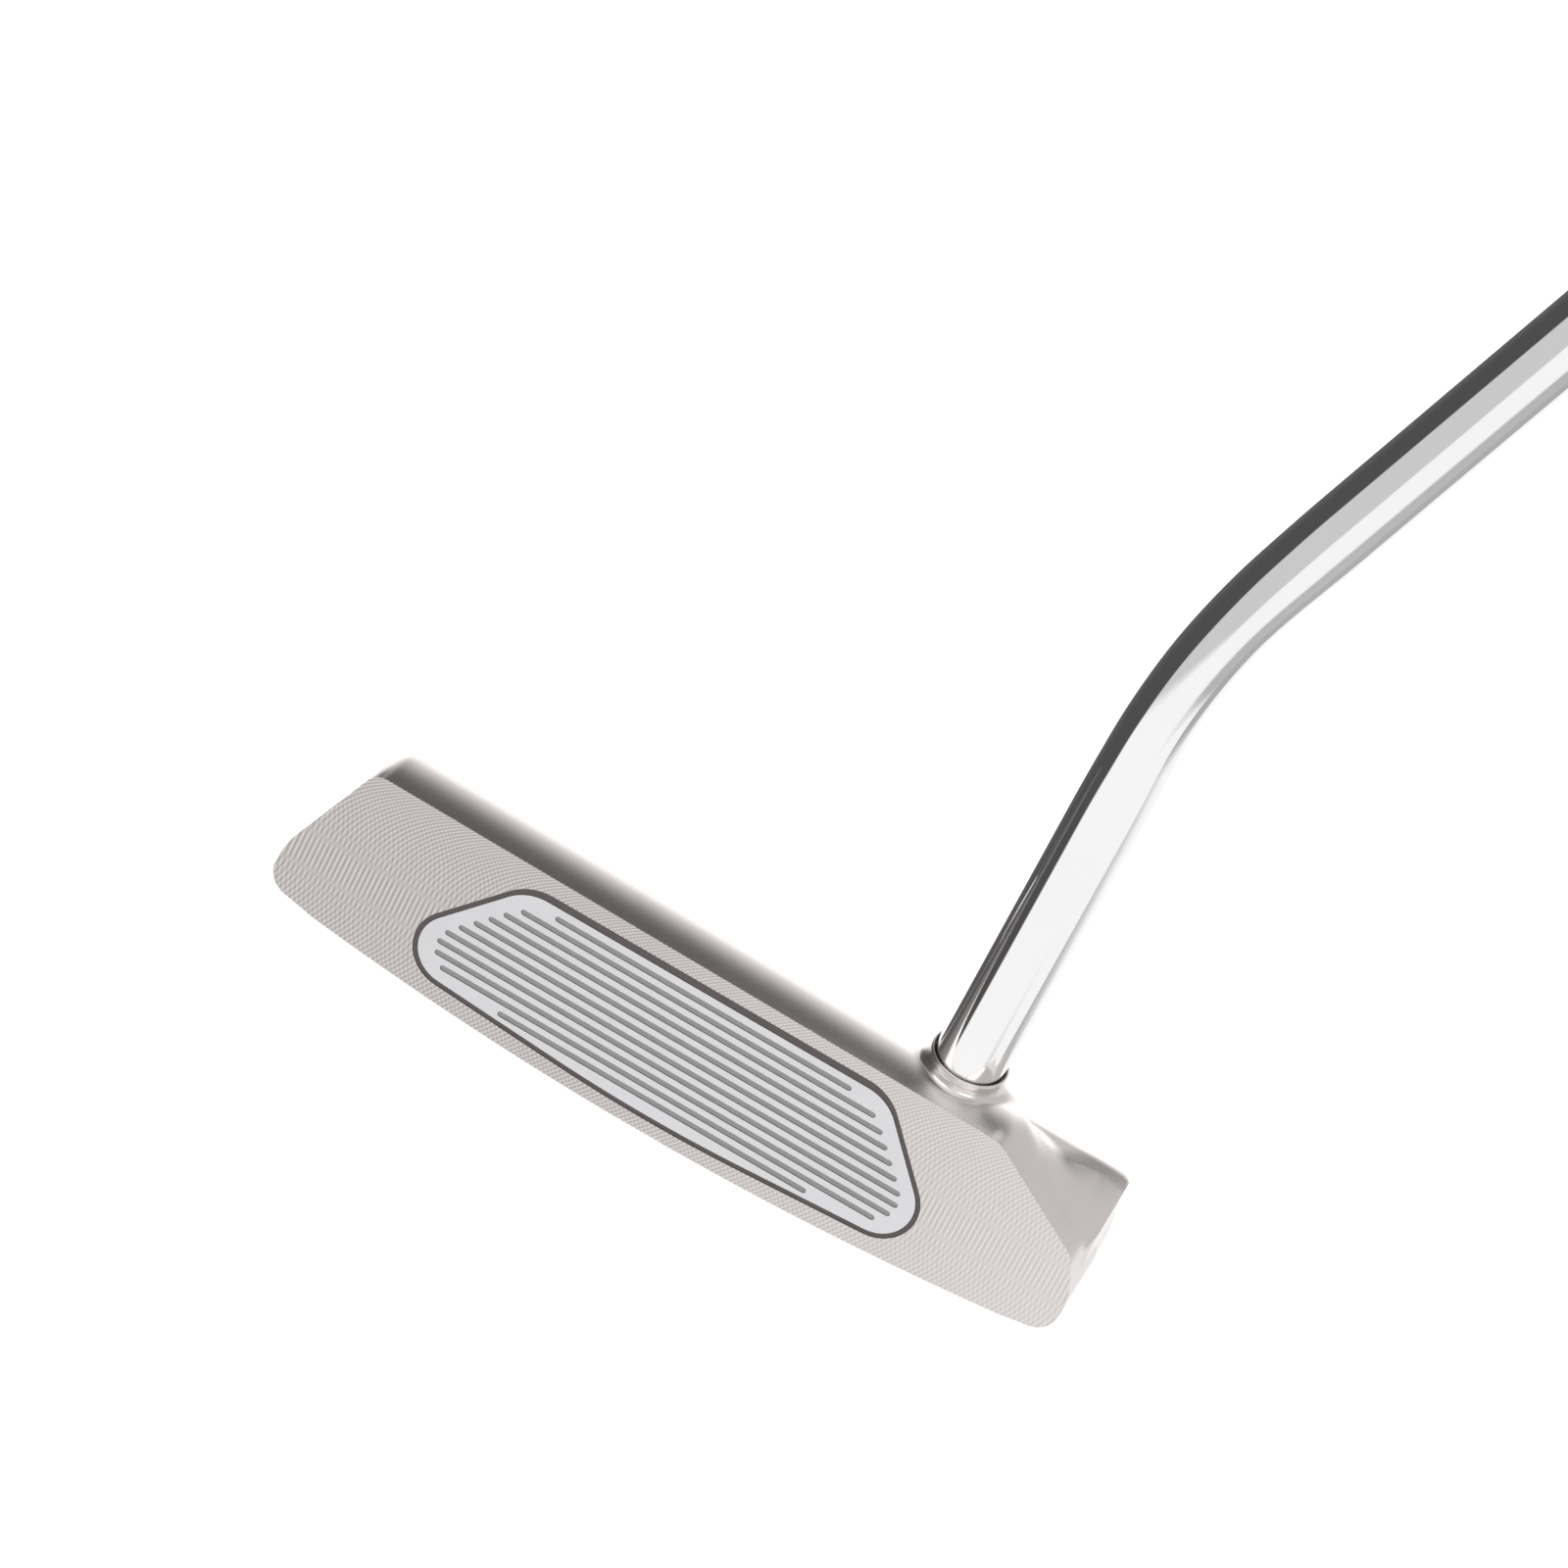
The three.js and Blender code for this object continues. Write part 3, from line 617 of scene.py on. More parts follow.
def insert_outline(inset, top_extra=0.0, divisions=16):
    """A wide trapezium with round ends, drawn inset by a margin."""
    top_z, corner_x, tip_x, tip_z, bottom_z = 24.1, 26.0, 42.3, 5.0, 2.1
    fall = (top_z - tip_z) / (tip_x - corner_x)
    rise = (tip_z - bottom_z) / tip_x
    top = top_z - inset - top_extra
    bottom = bottom_z + inset * math.hypot(1, rise)
    side = corner_x + (top_z - top) / fall - inset * math.hypot(1, fall) / fall
    end_x = (top - bottom + fall * side) / (rise + fall)
    end_z = bottom + rise * end_x
    return rounded_outline([
        (side, top, 7 - inset), (-side, top, 7 - inset), (-end_x, end_z, 5.6 - inset),
        (0, bottom, 200), (end_x, end_z, 5.6 - inset),
    ], divisions)


def crown_share(x, s):
    """1 along the topline and the leading edge, fading to 0 down the toe and the heel."""
    top = eased(s, 19.5, 26.0) * eased(x, -52.0, -47.5)
    sole = eased(s, 8.0, 4.0) * eased(np.abs(x), 54.0, 44.0)
    return np.maximum(top, sole)


def crowned_slab(u, w):
    """Cross-section under the topline: u is the distance outside the face's outline, w the depth."""
    u = u - CROWN_RISE
    qu, qw = u + CROWN_R, w - CROWN_AT
    big = np.hypot(qu, qw) - CROWN_R
    su = -CROWN_R + (CROWN_R - REAR_R) * math.cos(REAR_TURN)
    sw = CROWN_AT + (CROWN_R - REAR_R) * math.sin(REAR_TURN)
    vu, vw = u - su, w - sw
    small = np.hypot(vu, vw) - REAR_R
    wall = w - BLADE_THICK
    rear = (vu > 0) & (vw > math.tan(REAR_TURN) * vu)
    body = np.where(rear, small, np.where(qu > 0, big, wall))
    return np.where((vu <= 0) & (vw > 0), wall, body)


def plain_slab(u, w, s):
    """Cross-section at the toe and heel: square, its rear edge rounded above the rear body."""
    return round_max(u, w - BLADE_THICK, 0.3 + 2.7 * eased(s, 19.5, 23.0))


def cove_height(x, y):
    """Top of the rear body: the bumper's flat, and the cove down to the sloping heel edge."""
    edge = 25.75 - 0.6208 * (x - 40.8)
    edge = edge + CROWN_RISE * eased(edge, 19.5, 26.0)
    crease = np.interp(x, [46, 53.6, 60], [-1.3, 1.2, 2.0])
    front = -8.6
    t = np.clip((y - front) / (crease - front), 0, 1)
    low = np.minimum(edge, BUMPER_TOP)
    return low + (BUMPER_TOP - low) * t ** 1.35


def collar_radius(drop):
    """Radius of the shaft collar at a depth below its rim: it flares into the topline."""
    return 5.22 + 0.034 * drop + 2.9 * (drop / 4.4) ** 3


def head_field():
    """The head as one signed distance in the lofted frame (x, depth into the head, height up)."""
    blade_edge = Field(face_edge(), (-62, -5), (63, 34))
    ends = Field(rear_sides(), (-62, -5), (63, 34))
    pocket = Field(insert_outline(0), (-62, -5), (63, 34))
    cavity = Field(rounded_outline([
        (-24, -5, 0), (16, -5, 0), (16, 1.2, 0), (23, 18, 0),
        (30, 40, 0), (-38, 40, 0), (-31, 18, 0), (-24, 1.2, 0),
    ]), (-62, -6), (63, 20))
    rear_dir = np.array([BACK_Y - BUMPER_BACK_Y, BACK_EDGE_Z - BUMPER_TOP])
    rear_out = np.array([-rear_dir[1], rear_dir[0]]) / np.linalg.norm(rear_dir)
    under_dir = np.array([6.0, 3.2])
    under_out = np.array([under_dir[1], -under_dir[0]]) / np.linalg.norm(under_dir)
    sight_low, sight_high = SIGHT_LINE
    sight_middle, sight_reach = (sight_low + sight_high) / 2, (sight_high - sight_low) / 2

    def field(x, w, s):
        y = FACE_Y + w * math.cos(LOFT) + s * math.sin(LOFT)
        z = -w * math.sin(LOFT) + s * math.cos(LOFT)
        # seen from above, the toe end narrows towards the rear and the heel end widens
        across = x - w * np.interp(x, [-45, -30, 30, 45], [TOE_TAPER, 0, 0, HEEL_FLARE])
        edge = blade_edge(across, s)
        share = crown_share(x, s)
        blade = crowned_slab(edge, w) * share + plain_slab(edge, w, s) * (1 - share)

        sole = sole_height(x) - SOLE_SINK - z
        top = (z - cove_height(x, y)) * 0.9
        slope = (y - BUMPER_BACK_Y) * rear_out[0] + (z - BUMPER_TOP) * rear_out[1]
        under = (y - SOLE_BACK_Y) * under_out[0] + (z - sole_height(x)) * under_out[1]
        body = round_max(top, slope, 1.6)
        body = round_max(body, y - BACK_Y, 2.5)
        body = round_max(body, under, 2.0)
        body = round_max(body, sole, 1.5)
        px = np.maximum(np.abs(x - BODY_MIDDLE) - (BODY_HALF - REAR_CORNER_R), 0)
        py = np.maximum(y - (BACK_Y - REAR_CORNER_R), 0)
        body = np.maximum(body, np.hypot(px, py) - REAR_CORNER_R)
        # at the heel's shoulder the rear body starts inside the blade's outline
        shoulder = eased(s, 5.0, 9.0) * eased(x, 30, 45)
        hug = edge - 0.55 * np.maximum(w - 4.4, 0) - 3 * (1 - shoulder)
        side = ends(across, z)
        corner_r = 3.0 - 1.8 * eased(z, 2.0, 6.0) + 2.8 * eased(z, 8.0, 15.0)
        body = round_max(body, np.maximum(side, hug), corner_r)
        body = np.maximum(body, BODY_FRONT_Y - y)
        scoop = np.maximum(cavity(x, y), BLADE_THICK - w)
        scoop = round_max(scoop, FLANGE_TOP - z, 1.8)
        body = soft_max(body, -scoop, 0.9)
        fillet = 0.06 + 1.14 * eased(-side, 0.5, 3.5)  # none where both end flush
        head = soft_min(blade, body, fillet)

        vx, vy, vz = x - RIM[0], y - RIM[1], z - RIM[2]
        h = vx * TIP[0] + vy * TIP[1] + vz * TIP[2]
        out = np.sqrt(np.maximum(vx * vx + vy * vy + vz * vz - h * h, 1e-9))
        drop = np.clip(-h, 0, 4.6)
        behind = np.clip(vy / out, 0, 1)
        flare = collar_radius(drop) - 1.9 * behind * (drop / 4.4) ** 3
        collar = np.maximum((out - flare) * 0.9, h + RIM_DEPTH / 2)
        collar = np.maximum(collar, -16 - h)
        head = soft_min(head, collar, 0.7)

        head = np.maximum(head, -w)
        head = soft_max(head, -z, 0.25)
        head = np.maximum(head, -np.maximum(pocket(x, s), w - POCKET_DEPTH))
        head = np.maximum(head, -np.maximum(out - BORE_INNER, -BORE_DEPTH - h))
        for side in (-1, 1):
            far = np.hypot(x - side * WEIGHT_X, y - WEIGHT_Y)
            head = soft_max(head, -np.maximum(far - WEIGHT_HEAD_R, z - WEIGHT_Z - 3), 0.3)
            head = np.maximum(head, -np.maximum(far - 4, z - WEIGHT_Z - 7))
        sx = np.abs(x)
        sy = np.abs(y - sight_middle) - sight_reach + SIGHT_R
        line = np.hypot(sx, np.maximum(sy, 0)) - SIGHT_R
        return np.maximum(head, -np.maximum(line, FLANGE_TOP - SIGHT_DEPTH - z))

    return field


WEIGHT_X = 41.0
WEIGHT_Y = 2.0
WEIGHT_HEAD_R = 6.0
WEIGHT_Z = sole_height(WEIGHT_X) - SOLE_SINK + 0.4


def graded(*spans):
    """Grid positions: spans are (from, to, largest step), end to end."""
    values = []
    for low, high, step in spans:
        count = max(1, math.ceil((high - low) / step))
        values.extend(np.linspace(low, high, count, endpoint=False))
    values.append(spans[-1][1])
    return np.array(values)


def build_head():
    h = 0.42
    fine = 0.28
    xs = graded((-58.5, -1.3, h), (-1.3, 1.3, min(h, 0.2)), (1.3, 24, h), (24, 40, fine), (40, 59.6, h))
    ws = graded((-0.35, 0.21, 1), (0.21, 2.61, min(h, 0.3)), (2.61, 30.3, h))
    ss = graded((-0.9, 4.1, min(h, 0.35)), (4.1, 24.4, h), (24.4, 30.4, fine))
    vertices, faces = contour_solid(head_field(), xs, ws, ss)
    placed = face_to_model(vertices[:, 0], vertices[:, 1], vertices[:, 2])
    steel = head_steel()
    make_piece("milled_head", placed, faces.tolist(), steel, ["head_body"], sharp=28)
    build_collar_rim(steel)


def build_collar_rim(steel):
    """The collar's turned upper edge, finer than the grid that the head is contoured on."""
    edge = collar_radius(0) - 0.02
    turns = np.linspace(0, math.pi / 2, 6)
    arc = [(edge - 0.14 + 0.14 * math.cos(a), -0.14 + 0.14 * math.sin(a)) for a in turns]
    wall = [(collar_radius(d) + 0.012, -d) for d in (RIM_DEPTH, 0.8, 0.6, 0.4, 0.25)]
    profile = [(BORE_R, -1.6), (edge - 0.2, -1.6), *wall, *arc, (BORE_R + 0.06, 0), (BORE_R, -0.06)]
    vertices, faces = lathe(profile, RIM, TIP, 128, closed=True)
    make_piece("collar_rim", vertices, faces, steel, sharp=50)


build_head()

# ---- insert -------------------------------------------------------------------------------

GROOVE_COUNT = 11
GROOVE_PITCH = 1.627
GROOVE_WIDTH = 0.78
GROOVE_TOP = 21.6
RING_WIDTH = 0.68
RING_TOP_EXTRA = 0.4
PLATE_THICK = 1.5


def half_width(outline, level):
    """Half the width of an outline at a height."""
    nxt = np.roll(outline, -1, axis=0)
    spans = (outline[:, 1] - level) * (nxt[:, 1] - level) <= 0
    a, b = outline[spans], nxt[spans]
    run = np.where(a[:, 1] == b[:, 1], 1, b[:, 1] - a[:, 1])
    return float(np.max(a[:, 0] + (b[:, 0] - a[:, 0]) * (level - a[:, 1]) / run))


def groove_rows():
    ends = rounded_outline([
        (24.45, 21.67, 9.3), (-24.45, 21.67, 9.3), (-37.1, 7.5, 3.7), (0, 2.0, 0), (37.1, 7.5, 3.7),
    ], 12)
    levels = [GROOVE_TOP - i * GROOVE_PITCH for i in range(GROOVE_COUNT)]
    return [(level, half_width(ends, level)) for level in levels]


def bar_outline(level, half, width):
    r = width / 2
    return rounded_outline([
        (half, level + r, r * 0.999), (-half, level + r, r * 0.999),
        (-half, level - r, r * 0.999), (half, level - r, r * 0.999),
    ], 7)


def flat_piece(name, outlines, front, rear, edge, material, replaced):
    """A plate between two depths behind the face, cut to outlines, its edges eased by edge."""
    curve = bpy.data.curves.new(name, "CURVE")
    curve.dimensions = "2D"
    curve.fill_mode = "BOTH"
    curve.extrude = (rear - front) / 2 - edge
    curve.bevel_depth = edge
    curve.bevel_resolution = 1
    curve.offset = -edge
    for outline in outlines:
        spline = curve.splines.new("POLY")
        spline.points.add(len(outline) - 1)
        for point, (x, s) in zip(spline.points, outline):
            point.co = (x, s, 0, 1)
        spline.use_cyclic_u = True
    helper = bpy.data.objects.new(name + "_curve", curve)
    bpy.context.scene.collection.objects.link(helper)
    bpy.context.view_layer.update()
    evaluated = helper.evaluated_get(bpy.context.evaluated_depsgraph_get())
    mesh = bpy.data.meshes.new_from_object(evaluated)
    bpy.data.objects.remove(helper)
    middle = (front + rear) / 2
    for vertex in mesh.vertices:
        x, s, depth = vertex.co
        vertex.co = face_to_model(x, middle - depth, s) * MM
    work = bmesh.new()
    work.from_mesh(mesh)
    bmesh.ops.remove_doubles(work, verts=work.verts, dist=1e-7)
    work.to_mesh(mesh)
    work.free()
    mesh.materials.clear()
    return finish_piece(name, mesh, material, replaced, sharp=20)


def build_insert():
    rows = groove_rows()
    plate = [insert_outline(RING_WIDTH, RING_TOP_EXTRA)]
    plate += [bar_outline(level, half, GROOVE_WIDTH) for level, half in rows]
    metal = insert_aluminium()
    flat_piece("slotted_plate", plate, 0.0, PLATE_THICK, 0.05, metal, ["insert_plate"])

    infill = polymer("insert_polymer", colour(0.215, 0.0), colour(0.26, 0.01), 0.62)
    core = [insert_outline(0.05)]
    flat_piece("polymer_core", core, 1.55, 2.85, 0.05, infill, ["insert_core"])
    for i, (level, half) in enumerate(rows):
        outline = bar_outline(level, half - 0.03, GROOVE_WIDTH - 0.06)
        flat_piece(f"groove_infill_{i + 1:02d}", [outline], 0.13, 1.6, 0.04, infill, [])

    dark = polymer("insert_border", (0.066, 0.052, 0.055, 1), (0.086, 0.07, 0.073, 1), 0.5)
    ring = [insert_outline(0.03), insert_outline(RING_WIDTH - 0.03, RING_TOP_EXTRA)]
    flat_piece("border_ring", ring, 0.08, 1.3, 0.05, dark, ["insert_ring"])


build_insert()

# ---- shaft --------------------------------------------------------------------------------

BEND_START = 54.0
BEND_RADIUS = 98.0
BEND_ANGLE = math.acos(float(TIP @ TOP))
BEND_END = BEND_START + BEND_RADIUS * BEND_ANGLE
BEND_AXIS = np.cross(TIP, TOP) / np.linalg.norm(np.cross(TIP, TOP))
SHAFT_WALL = 0.55
BUTT_R = 7.5
SHAFT_STEPS = 11
STEP_START = 205.0
STEP_PITCH = 36.0
BEND_SQUEEZE = 0.07  # how much narrower the tube gets in the plane of the bend
CAP_THICK = 3.0


def shaft_point(length):
    """Place and direction at a length along the shaft's line, from the collar's rim."""
    if length <= BEND_START:
        return RIM + TIP * length, TIP
    turn = min((length - BEND_START) / BEND_RADIUS, BEND_ANGLE)
    inward = np.cross(BEND_AXIS, TIP)
    place = RIM + TIP * (BEND_START + BEND_RADIUS * math.sin(turn))
    place = place + inward * BEND_RADIUS * (1 - math.cos(turn))
    direction = TIP * math.cos(turn) + inward * math.sin(turn)
    return place + TOP * max(length - BEND_END, 0), direction


def shaft_ring(length, radius, sides):
    place, direction = shaft_point(length)
    inward = np.cross(BEND_AXIS, direction)
    blend = 11.0
    squeeze = eased(length, BEND_START - blend, BEND_START + blend)
    squeeze *= 1 - eased(length, BEND_END - blend, BEND_END + blend)
    squeeze *= BEND_SQUEEZE
    angles = 2 * np.pi * np.arange(sides) / sides
    in_plane = np.outer(np.cos(angles), inward) * radius * (1 - squeeze)
    across = np.outer(np.sin(angles), BEND_AXIS) * radius * (1 + squeeze / 2)
    return place + in_plane + across


def build_shaft():
    sides = 96
    end = CLUB_LENGTH - RIM[2] - CAP_THICK - 0.3
    start = -BORE_DEPTH + 0.3
    line = [(start, SHAFT_R - 0.3), (start + 0.4, SHAFT_R)]
    line += [(length, SHAFT_R) for length in np.linspace(0, BEND_START - 12, 10)]
    line += [(length, SHAFT_R) for length in np.linspace(BEND_START - 11, BEND_END + 11, 44)]
    line += [(length, SHAFT_R) for length in np.linspace(BEND_END + 14, STEP_START - 1.5, 16)]
    for i in range(1, SHAFT_STEPS + 1):
        radius = SHAFT_R + (BUTT_R - SHAFT_R) * i / SHAFT_STEPS
        low = STEP_START + (i - 1) * STEP_PITCH
        high = end - 0.3 if i == SHAFT_STEPS else low + STEP_PITCH - 1.5
        line += [(length, radius) for length in np.linspace(low, high, 6)]
    line += [(end, BUTT_R - 0.3)]
    rings = [shaft_ring(length, radius, sides) for length, radius in line]
    rings += [shaft_ring(length, radius - SHAFT_WALL, sides) for length, radius in reversed(line)]
    vertices, faces = loft_rings(rings)
    make_piece("chrome_shaft", vertices, faces, chrome(), ["shaft"], sharp=40)


def build_bond():
    ring = polymer("adhesive", (0.020, 0.017, 0.017, 1), (0.045, 0.038, 0.036, 1), 0.4, 0.4, 0.02)
    low = -BORE_DEPTH + 0.3
    inner, outer = SHAFT_R + 0.02, BORE_R - 0.02
    profile = [(inner, low), (outer, low), (outer, -0.42), (outer - 0.05, -0.3),
               (inner + 0.05, -0.3), (inner, -0.42)]
    vertices, faces = lathe(profile, RIM, TIP, 96, closed=True)
    make_piece("hosel_joint_ring", vertices, faces, ring, ["hosel_bond"], sharp=40)


build_shaft()
build_bond()

# ---- sole weights and sight line ------------------------------------------------------------


def build_weight(name, side):
    centre = (side * WEIGHT_X, WEIGHT_Y, WEIGHT_Z)
    r = WEIGHT_HEAD_R - 0.15
    pins = 3.2
    dimple = [(0, 0.5), (0.7, 0.5), (0.9, 0.3), (1.0, 0)]
    bead = [(r - 0.9, 0), (r - 0.8, 0.06), (r - 0.6, 0.06), (r - 0.5, 0)]
    stem = [(4.05, 1.6), (4.05, 2.7), (3.85, 2.9), (3.85, 6.5), (0, 6.7)]
    profile = [*dimple, *bead, (r - 0.4, 0), (r, 0.4), (r, 1.6), *stem]
    vertices, faces = lathe(profile, centre, (0, 0, 1), 96)
    metal = turned_metal("weight_metal_" + name, centre)
    replaced = [f"{name}_sole_weight"]
    piece = make_piece(f"{name}_turned_weight", vertices, faces, metal, replaced, sharp=30)
    for turn in (-1, 1):
        hole = [(0, -1), (0.95, -1), (0.95, 0.0), (0.8, 0.12), (0.8, 1.7), (0, 1.95)]
        at = (centre[0] + turn * pins, centre[1], centre[2])
        cut_vertices, cut_faces = lathe(hole, at, (0, 0, 1), 24)
        mesh = bpy.data.meshes.new("pin_hole")
        mesh.from_pydata([tuple(np.asarray(v) * MM) for v in cut_vertices], [], cut_faces)
        cutter = bpy.data.objects.new("pin_hole", mesh)
        bpy.context.scene.collection.objects.link(cutter)
        cut = piece.modifiers.new("cut", "BOOLEAN")
        cut.operation = "DIFFERENCE"
        cut.solver = "EXACT"
        cut.object = cutter
        bpy.context.view_layer.update()
        evaluated = piece.evaluated_get(bpy.context.evaluated_depsgraph_get())
        made = bpy.data.meshes.new_from_object(evaluated)
        piece.modifiers.clear()
        piece.data = made
        bpy.data.objects.remove(cutter)
    rubber = polymer("seal_rubber_" + name, colour(0.015), colour(0.03), 0.6, 0.3, 0.01)
    ring_r, tube_r, z = 4.68, 0.42, 2.2
    turns = np.linspace(0, 2 * np.pi, 16, endpoint=False)
    section = [(ring_r + tube_r * math.cos(a), z + tube_r * math.sin(a)) for a in turns]
    vertices, faces = lathe(section, centre, (0, 0, 1), 64, closed=True)
    make_piece(f"{name}_seal_ring", vertices, faces, rubber, [f"{name}_weight_seal"])


def build_sight_line():
    """Paint that has pulled down a little in the middle of its groove."""
    half, low, high = SIGHT_R - 0.08, SIGHT_LINE[0] + 0.1, SIGHT_LINE[1] - 0.1
    bottom, top = FLANGE_TOP - SIGHT_DEPTH + 0.05, FLANGE_TOP - 0.14
    outline = rounded_outline([(half, high, half * 0.999), (-half, high, half * 0.999),
                               (-half, low, half * 0.999), (half, low, half * 0.999)], 10)
    spine = outline.copy()
    spine[:, 0] = 0
    spine[:, 1] = np.clip(outline[:, 1], low + half, high - half)
    rings = []
    for inset, z in ((0.0, bottom), (0.0, top + 0.04), (0.12, top + 0.05), (0.45, top), (0.9, top - 0.03)):
        flat = outline + (spine - outline) * inset
        rings.append(np.column_stack([flat, np.full(len(flat), z)]))
    vertices, faces = loft_rings(rings, closed_path=False)
    count = len(outline)
    faces.append(tuple(range(count))[::-1])
    faces.append(tuple(range(4 * count, 5 * count)))
    paint = polymer("line_paint", colour(0.78), colour(0.84), 0.38, 0.5, 0.006)
    make_piece("painted_sight_line", vertices, faces, paint, ["sight_line_paint"], sharp=50)


for end_name, end_side in (("toe", -1), ("heel", 1)):
    build_weight(end_name, end_side)
build_sight_line()

# ---- grip ---------------------------------------------------------------------------------

GRIP_LENGTH = 267.0
GRIP_TOP_R = 14.0
GRIP_LOW_R = 10.2
GRIP_FLAT = 2.4
SKIN_THICK = 1.8
BUTT = shaft_point(CLUB_LENGTH - RIM[2])[0]
THUMBS = np.array([-TOP[2], 0, TOP[0]])  # the flat front faces the player's thumbs
ACROSS = np.cross(TOP, THUMBS)


def grip_radius(h):
    """Full under the top hand, waisted, then tapering to the mouth."""
    t = h / GRIP_LENGTH
    taper = GRIP_TOP_R + (GRIP_LOW_R - GRIP_TOP_R) * t
    return taper + 1.1 * math.exp(-(((t - 0.22) / 0.16) ** 2)) - 0.6 * math.exp(-(((t - 0.5) / 0.18) ** 2))


def grip_texture(h, angles, radius):
    """Depth of the moulded pattern: chevrons on the flat, diamonds round the back."""
    ends = eased(h, 12, 18) * (1 - eased(h, GRIP_LENGTH - 26, GRIP_LENGTH - 18))
    across = radius * np.sin(angles)
    facing = np.cos(angles)
    on_flat = np.clip((facing - 0.78) / 0.08, 0, 1)
    on_back = np.clip((-facing - 0.15) / 0.12, 0, 1)
    chevron = 0.5 + 0.5 * np.cos(2 * np.pi * (h + np.abs(across) * 0.7) / 5.0)
    lead = radius * angles
    one = np.cos(2 * np.pi * (h + lead) / 5.2)
    two = np.cos(2 * np.pi * (h - lead) / 5.2)
    diamond = np.clip(np.maximum(one, two) * 1.6 - 0.6, 0, 1)
    return ends * (0.34 * chevron ** 3 * on_flat + 0.28 * diamond * on_back)


def grip_ring(h, inset, sides, textured=False):
    angles = 2 * np.pi * (np.arange(sides) + 0.5) / sides - np.pi
    radius = grip_radius(h) - inset
    flat = (GRIP_TOP_R - GRIP_FLAT - inset) / np.maximum(np.cos(angles), 0.05)
    shape = soft_min(np.full(sides, radius), flat, 1.2)
    if textured:
        shape = shape - grip_texture(h, angles, radius)
    out = np.outer(np.cos(angles) * shape, THUMBS) + np.outer(np.sin(angles) * shape, ACROSS)
    return BUTT - TOP * h + out


def build_grip():
    sides = 132
    step = 0.8
    rubber = grip_rubber("grip_rubber", 0.028)
    places = np.arange(CAP_THICK + 0.6, GRIP_LENGTH - 1.2, step)
    rings = [grip_ring(CAP_THICK + 0.05, 0.35, sides)]
    rings += [grip_ring(h, 0.0, sides, True) for h in places]
    rings += [grip_ring(GRIP_LENGTH - 0.5, 0.25, sides), grip_ring(GRIP_LENGTH - 0.05, 0.75, sides)]
    inside = np.linspace(GRIP_LENGTH - 0.05, CAP_THICK + 0.05, 24)
    rings += [grip_ring(h, SKIN_THICK, sides) for h in inside]
    vertices, faces = loft_rings(rings)
    make_piece("moulded_grip_skin", vertices, faces, rubber, ["grip_skin"], sharp=60)

    cap_look = grip_rubber("cap_rubber", 0.022)
    rim = [(CAP_THICK - 0.3, 3.0), (CAP_THICK - 0.3, 0.3), (CAP_THICK - 0.7, 0.12), (1.2, 0.3)]
    dome = [(0.5, 0.8), (0.15, 1.6), (0.05, 2.6), (0.05, 4.2)]
    groove = [(0.3, 4.5), (0.3, 4.9), (0.05, 5.2), (0.05, 8.0)]
    rows = [grip_ring(h, inset, sides) for h, inset in rim + dome + groove]
    angles = 2 * np.pi * (np.arange(sides) + 0.5) / sides - np.pi
    around = np.outer(np.cos(angles), THUMBS) + np.outer(np.sin(angles), ACROSS)
    for h, r in ((0.05, 2.2), (0.1, 1.15), (0.3, 1.0), (CAP_THICK - 0.3, 1.0)):
        rows.append(BUTT - TOP * h + around * r)
    vertices, faces = loft_rings(rows)
    make_piece("grip_end_cap", vertices, faces, cap_look, ["grip_cap"], sharp=45)


build_grip()


def dress_hidden_nodes():
    """The layers that the head and the grip cover keep their CAD shape and get a finish."""
    film_low, film_high = (0.42, 0.34, 0.16, 1), (0.50, 0.41, 0.22, 1)
    looks = {
        "insert_bond_film": polymer("bond_film", film_low, film_high, 0.45, 0.6, 0.02),
        "grip_tape": crepe_tape(),
        "grip_underlisting": polymer("grip_foam", colour(0.03), colour(0.055), 0.9, 0.5, 0.08),
    }
    for name, look in looks.items():
        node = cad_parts[name]
        node.data.materials.clear()
        node.data.materials.append(look)


dress_hidden_nodes()

# ---- studio -------------------------------------------------------------------------------


def add_floor():
    side = 12.0
    mesh = bpy.data.meshes.new("studio_floor")
    corners = [(-side, -side, 0), (side, -side, 0), (side, side, 0), (-side, side, 0)]
    mesh.from_pydata(corners, [], [(0, 1, 2, 3)])
    n = Nodes("studio_floor")
    tone = n.noise(400.0, 2.0)
    white = n.blend(tone, (0.80, 0.80, 0.80, 1), (0.83, 0.83, 0.83, 1))
    n.shader.inputs["Emission Color"].default_value = (1, 1, 1, 1)
    n.shader.inputs["Emission Strength"].default_value = 0.72
    mesh.materials.append(n.finish(Base_Color=white, Roughness=0.9))
    floor = bpy.data.objects.new("studio_floor", mesh)
    bpy.context.scene.collection.objects.link(floor)
    floor.location.z = -0.0002
    floor.visible_glossy = False


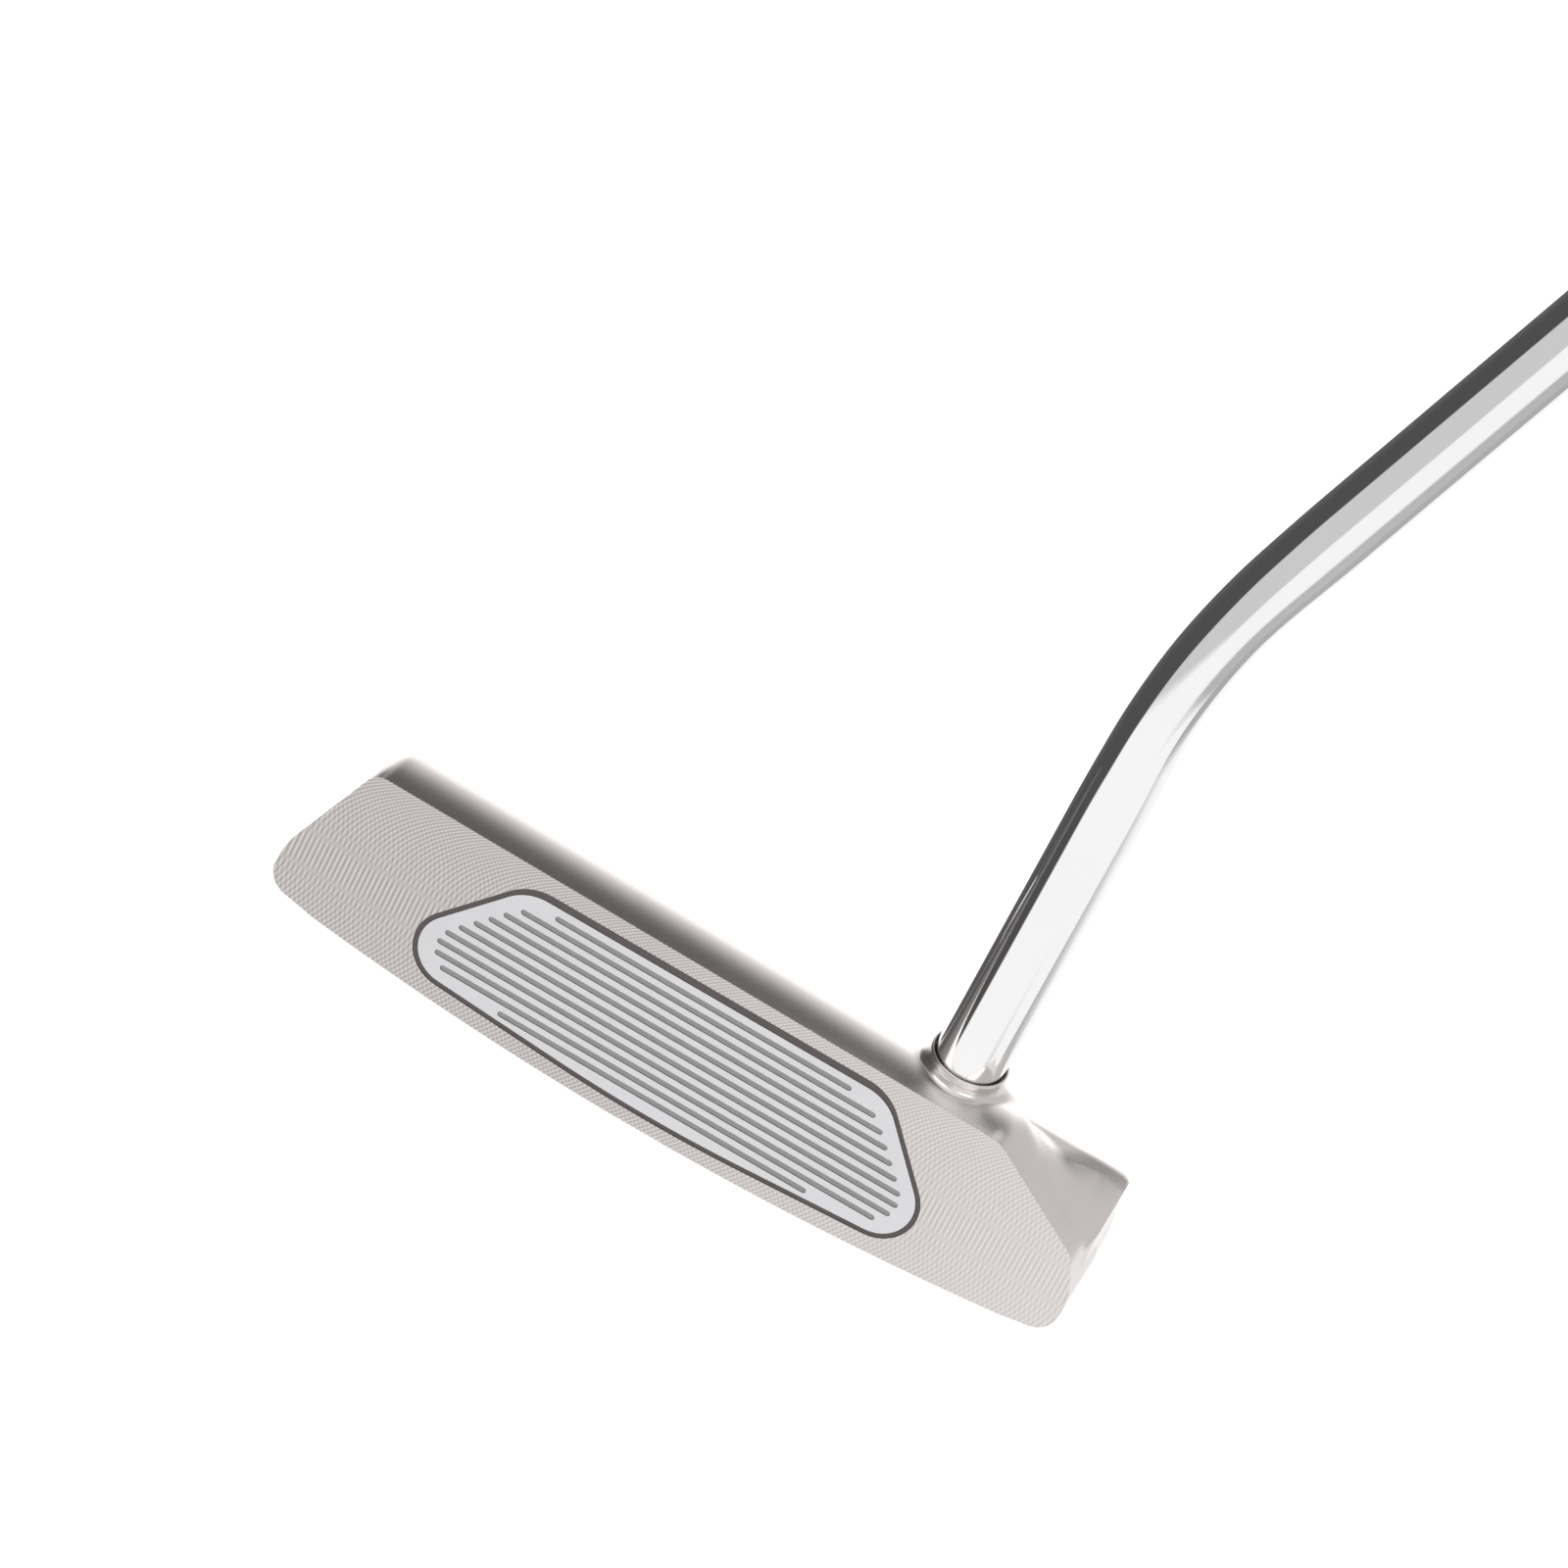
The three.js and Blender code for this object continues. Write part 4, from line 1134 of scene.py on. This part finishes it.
def add_sky():
    """White low down all round, dim overhead, with flags that give the steel its dark bands."""
    world = bpy.data.worlds.new("studio")
    world.use_nodes = True
    tree = world.node_tree
    tree.nodes.clear()

    def node(kind, **settings):
        made = tree.nodes.new(kind)
        for key, value in settings.items():
            setattr(made, key, value)
        return made

    def calc(operation, *values, clamp=False):
        made = node("ShaderNodeMath", operation=operation, use_clamp=clamp)
        for socket, value in zip(made.inputs, values):
            if isinstance(value, bpy.types.NodeSocket):
                tree.links.new(value, socket)
            else:
                socket.default_value = value
        return made.outputs[0]

    def ramp(value, low, high, to_low, to_high):
        made = node("ShaderNodeMapRange", clamp=True, interpolation_type="SMOOTHSTEP")
        for socket, item in zip(made.inputs, (value, low, high, to_low, to_high)):
            if isinstance(item, bpy.types.NodeSocket):
                tree.links.new(item, socket)
            else:
                socket.default_value = item
        return made.outputs[0]

    def band(value, low, high, soft):
        rise = ramp(value, low - soft, low, 0.0, 1.0)
        return calc("MULTIPLY", rise, ramp(value, high, high + soft, 1.0, 0.0))

    direction = node("ShaderNodeTexCoord").outputs["Generated"]
    parts = node("ShaderNodeSeparateXYZ")
    tree.links.new(direction, parts.inputs[0])
    x, y, z = parts.outputs
    # dim overhead and behind, except over the heel
    above = calc("MULTIPLY", ramp(z, 0.33, 0.92, 0.0, 0.86), ramp(y, -0.35, 0.0, 0.0, 1.0))
    shade = calc("MULTIPLY", above, ramp(x, 0.25, 0.62, 1.0, 0.15))
    # turn is 0 towards the heel, positive in front of the club and negative behind it
    turn = calc("DEGREES", calc("ARCTAN2", calc("MULTIPLY", y, -1.0), x))
    bearing = calc("DEGREES", calc("ARCTAN2", calc("MULTIPLY", y, -1.0), calc("MULTIPLY", x, -1.0)))
    # bearing is 0 towards the toe: a dark flag stands there, with a light grey one in front of it
    flag = calc("MULTIPLY", band(bearing, -46.0, 27.0, 6.0), ramp(z, 0.5, 0.85, 0.92, 0.0))
    shade = calc("MAXIMUM", shade, flag)
    haze = calc("MULTIPLY", band(bearing, 27.0, 84.0, 6.0), ramp(z, -0.56, -0.48, 0.0, 1.0))
    haze = calc("MULTIPLY", haze, ramp(z, 0.05, 0.25, 0.36, 0.0))
    shade = calc("MAXIMUM", shade, haze)
    # a grey card low over the heel, wider where the shaft bends
    card = calc("MULTIPLY", band(turn, -40.0, -10.0, 3.0), ramp(z, -0.62, -0.54, 0.56, 0.0))
    shade = calc("MAXIMUM", shade, card)
    wide = calc("MULTIPLY", band(turn, -40.0, 26.0, 14.0), band(z, -0.73, -0.67, 0.025))
    shade = calc("MAXIMUM", shade, calc("MULTIPLY", wide, 0.5))
    heel_side = calc("MULTIPLY", ramp(x, 0.15, 0.45, 0.0, 0.3), ramp(z, -0.35, -0.05, 0.0, 1.0))
    shade = calc("MAXIMUM", shade, heel_side)
    # brighter behind the club and straight below it, so that edges facing there burn out
    glow = calc("MULTIPLY", ramp(y, 0.2, 0.8, 0.0, 0.7), ramp(z, 0.1, 0.42, 1.0, 0.0))
    glow = calc("MULTIPLY", glow, ramp(x, 0.05, 0.3, 1.0, 0.0))
    glow = calc("MAXIMUM", glow, ramp(z, -0.95, -0.66, 0.6, 0.0))
    level = calc("MULTIPLY", calc("SUBTRACT", 1.0, shade), calc("ADD", glow, 1.0))
    background = node("ShaderNodeBackground")
    tree.links.new(level, background.inputs["Strength"])
    background.inputs["Color"].default_value = (1.0, 0.995, 0.99, 1)
    out = node("ShaderNodeOutputWorld")
    tree.links.new(background.outputs[0], out.inputs[0])
    bpy.context.scene.world = world


def add_light(name, place, size, power, aim=(0, 0, 0), on_floor=True):
    data = bpy.data.lights.new(name, "AREA")
    data.shape = "RECTANGLE"
    data.size, data.size_y = size
    data.energy = power
    light = bpy.data.objects.new(name, data)
    bpy.context.scene.collection.objects.link(light)
    light.location = place
    light.rotation_euler = (Vector(aim) - Vector(place)).to_track_quat("-Z", "Y").to_euler()
    light.visible_diffuse = on_floor


add_floor()
add_sky()
add_light("key", (-0.9, -1.3, 0.7), (1.2, 0.8), 3.0)
add_light("fill", (0.45, -0.6, 0.14), (0.4, 0.25), 0.6)
add_light("heel_card", (0.075, 0.045, 0.24), (0.07, 0.12), 0.02, aim=(0.052, 0, 0.02), on_floor=False)
bpy.context.scene.view_settings.view_transform = "Standard"
bpy.context.scene.view_settings.look = "None"
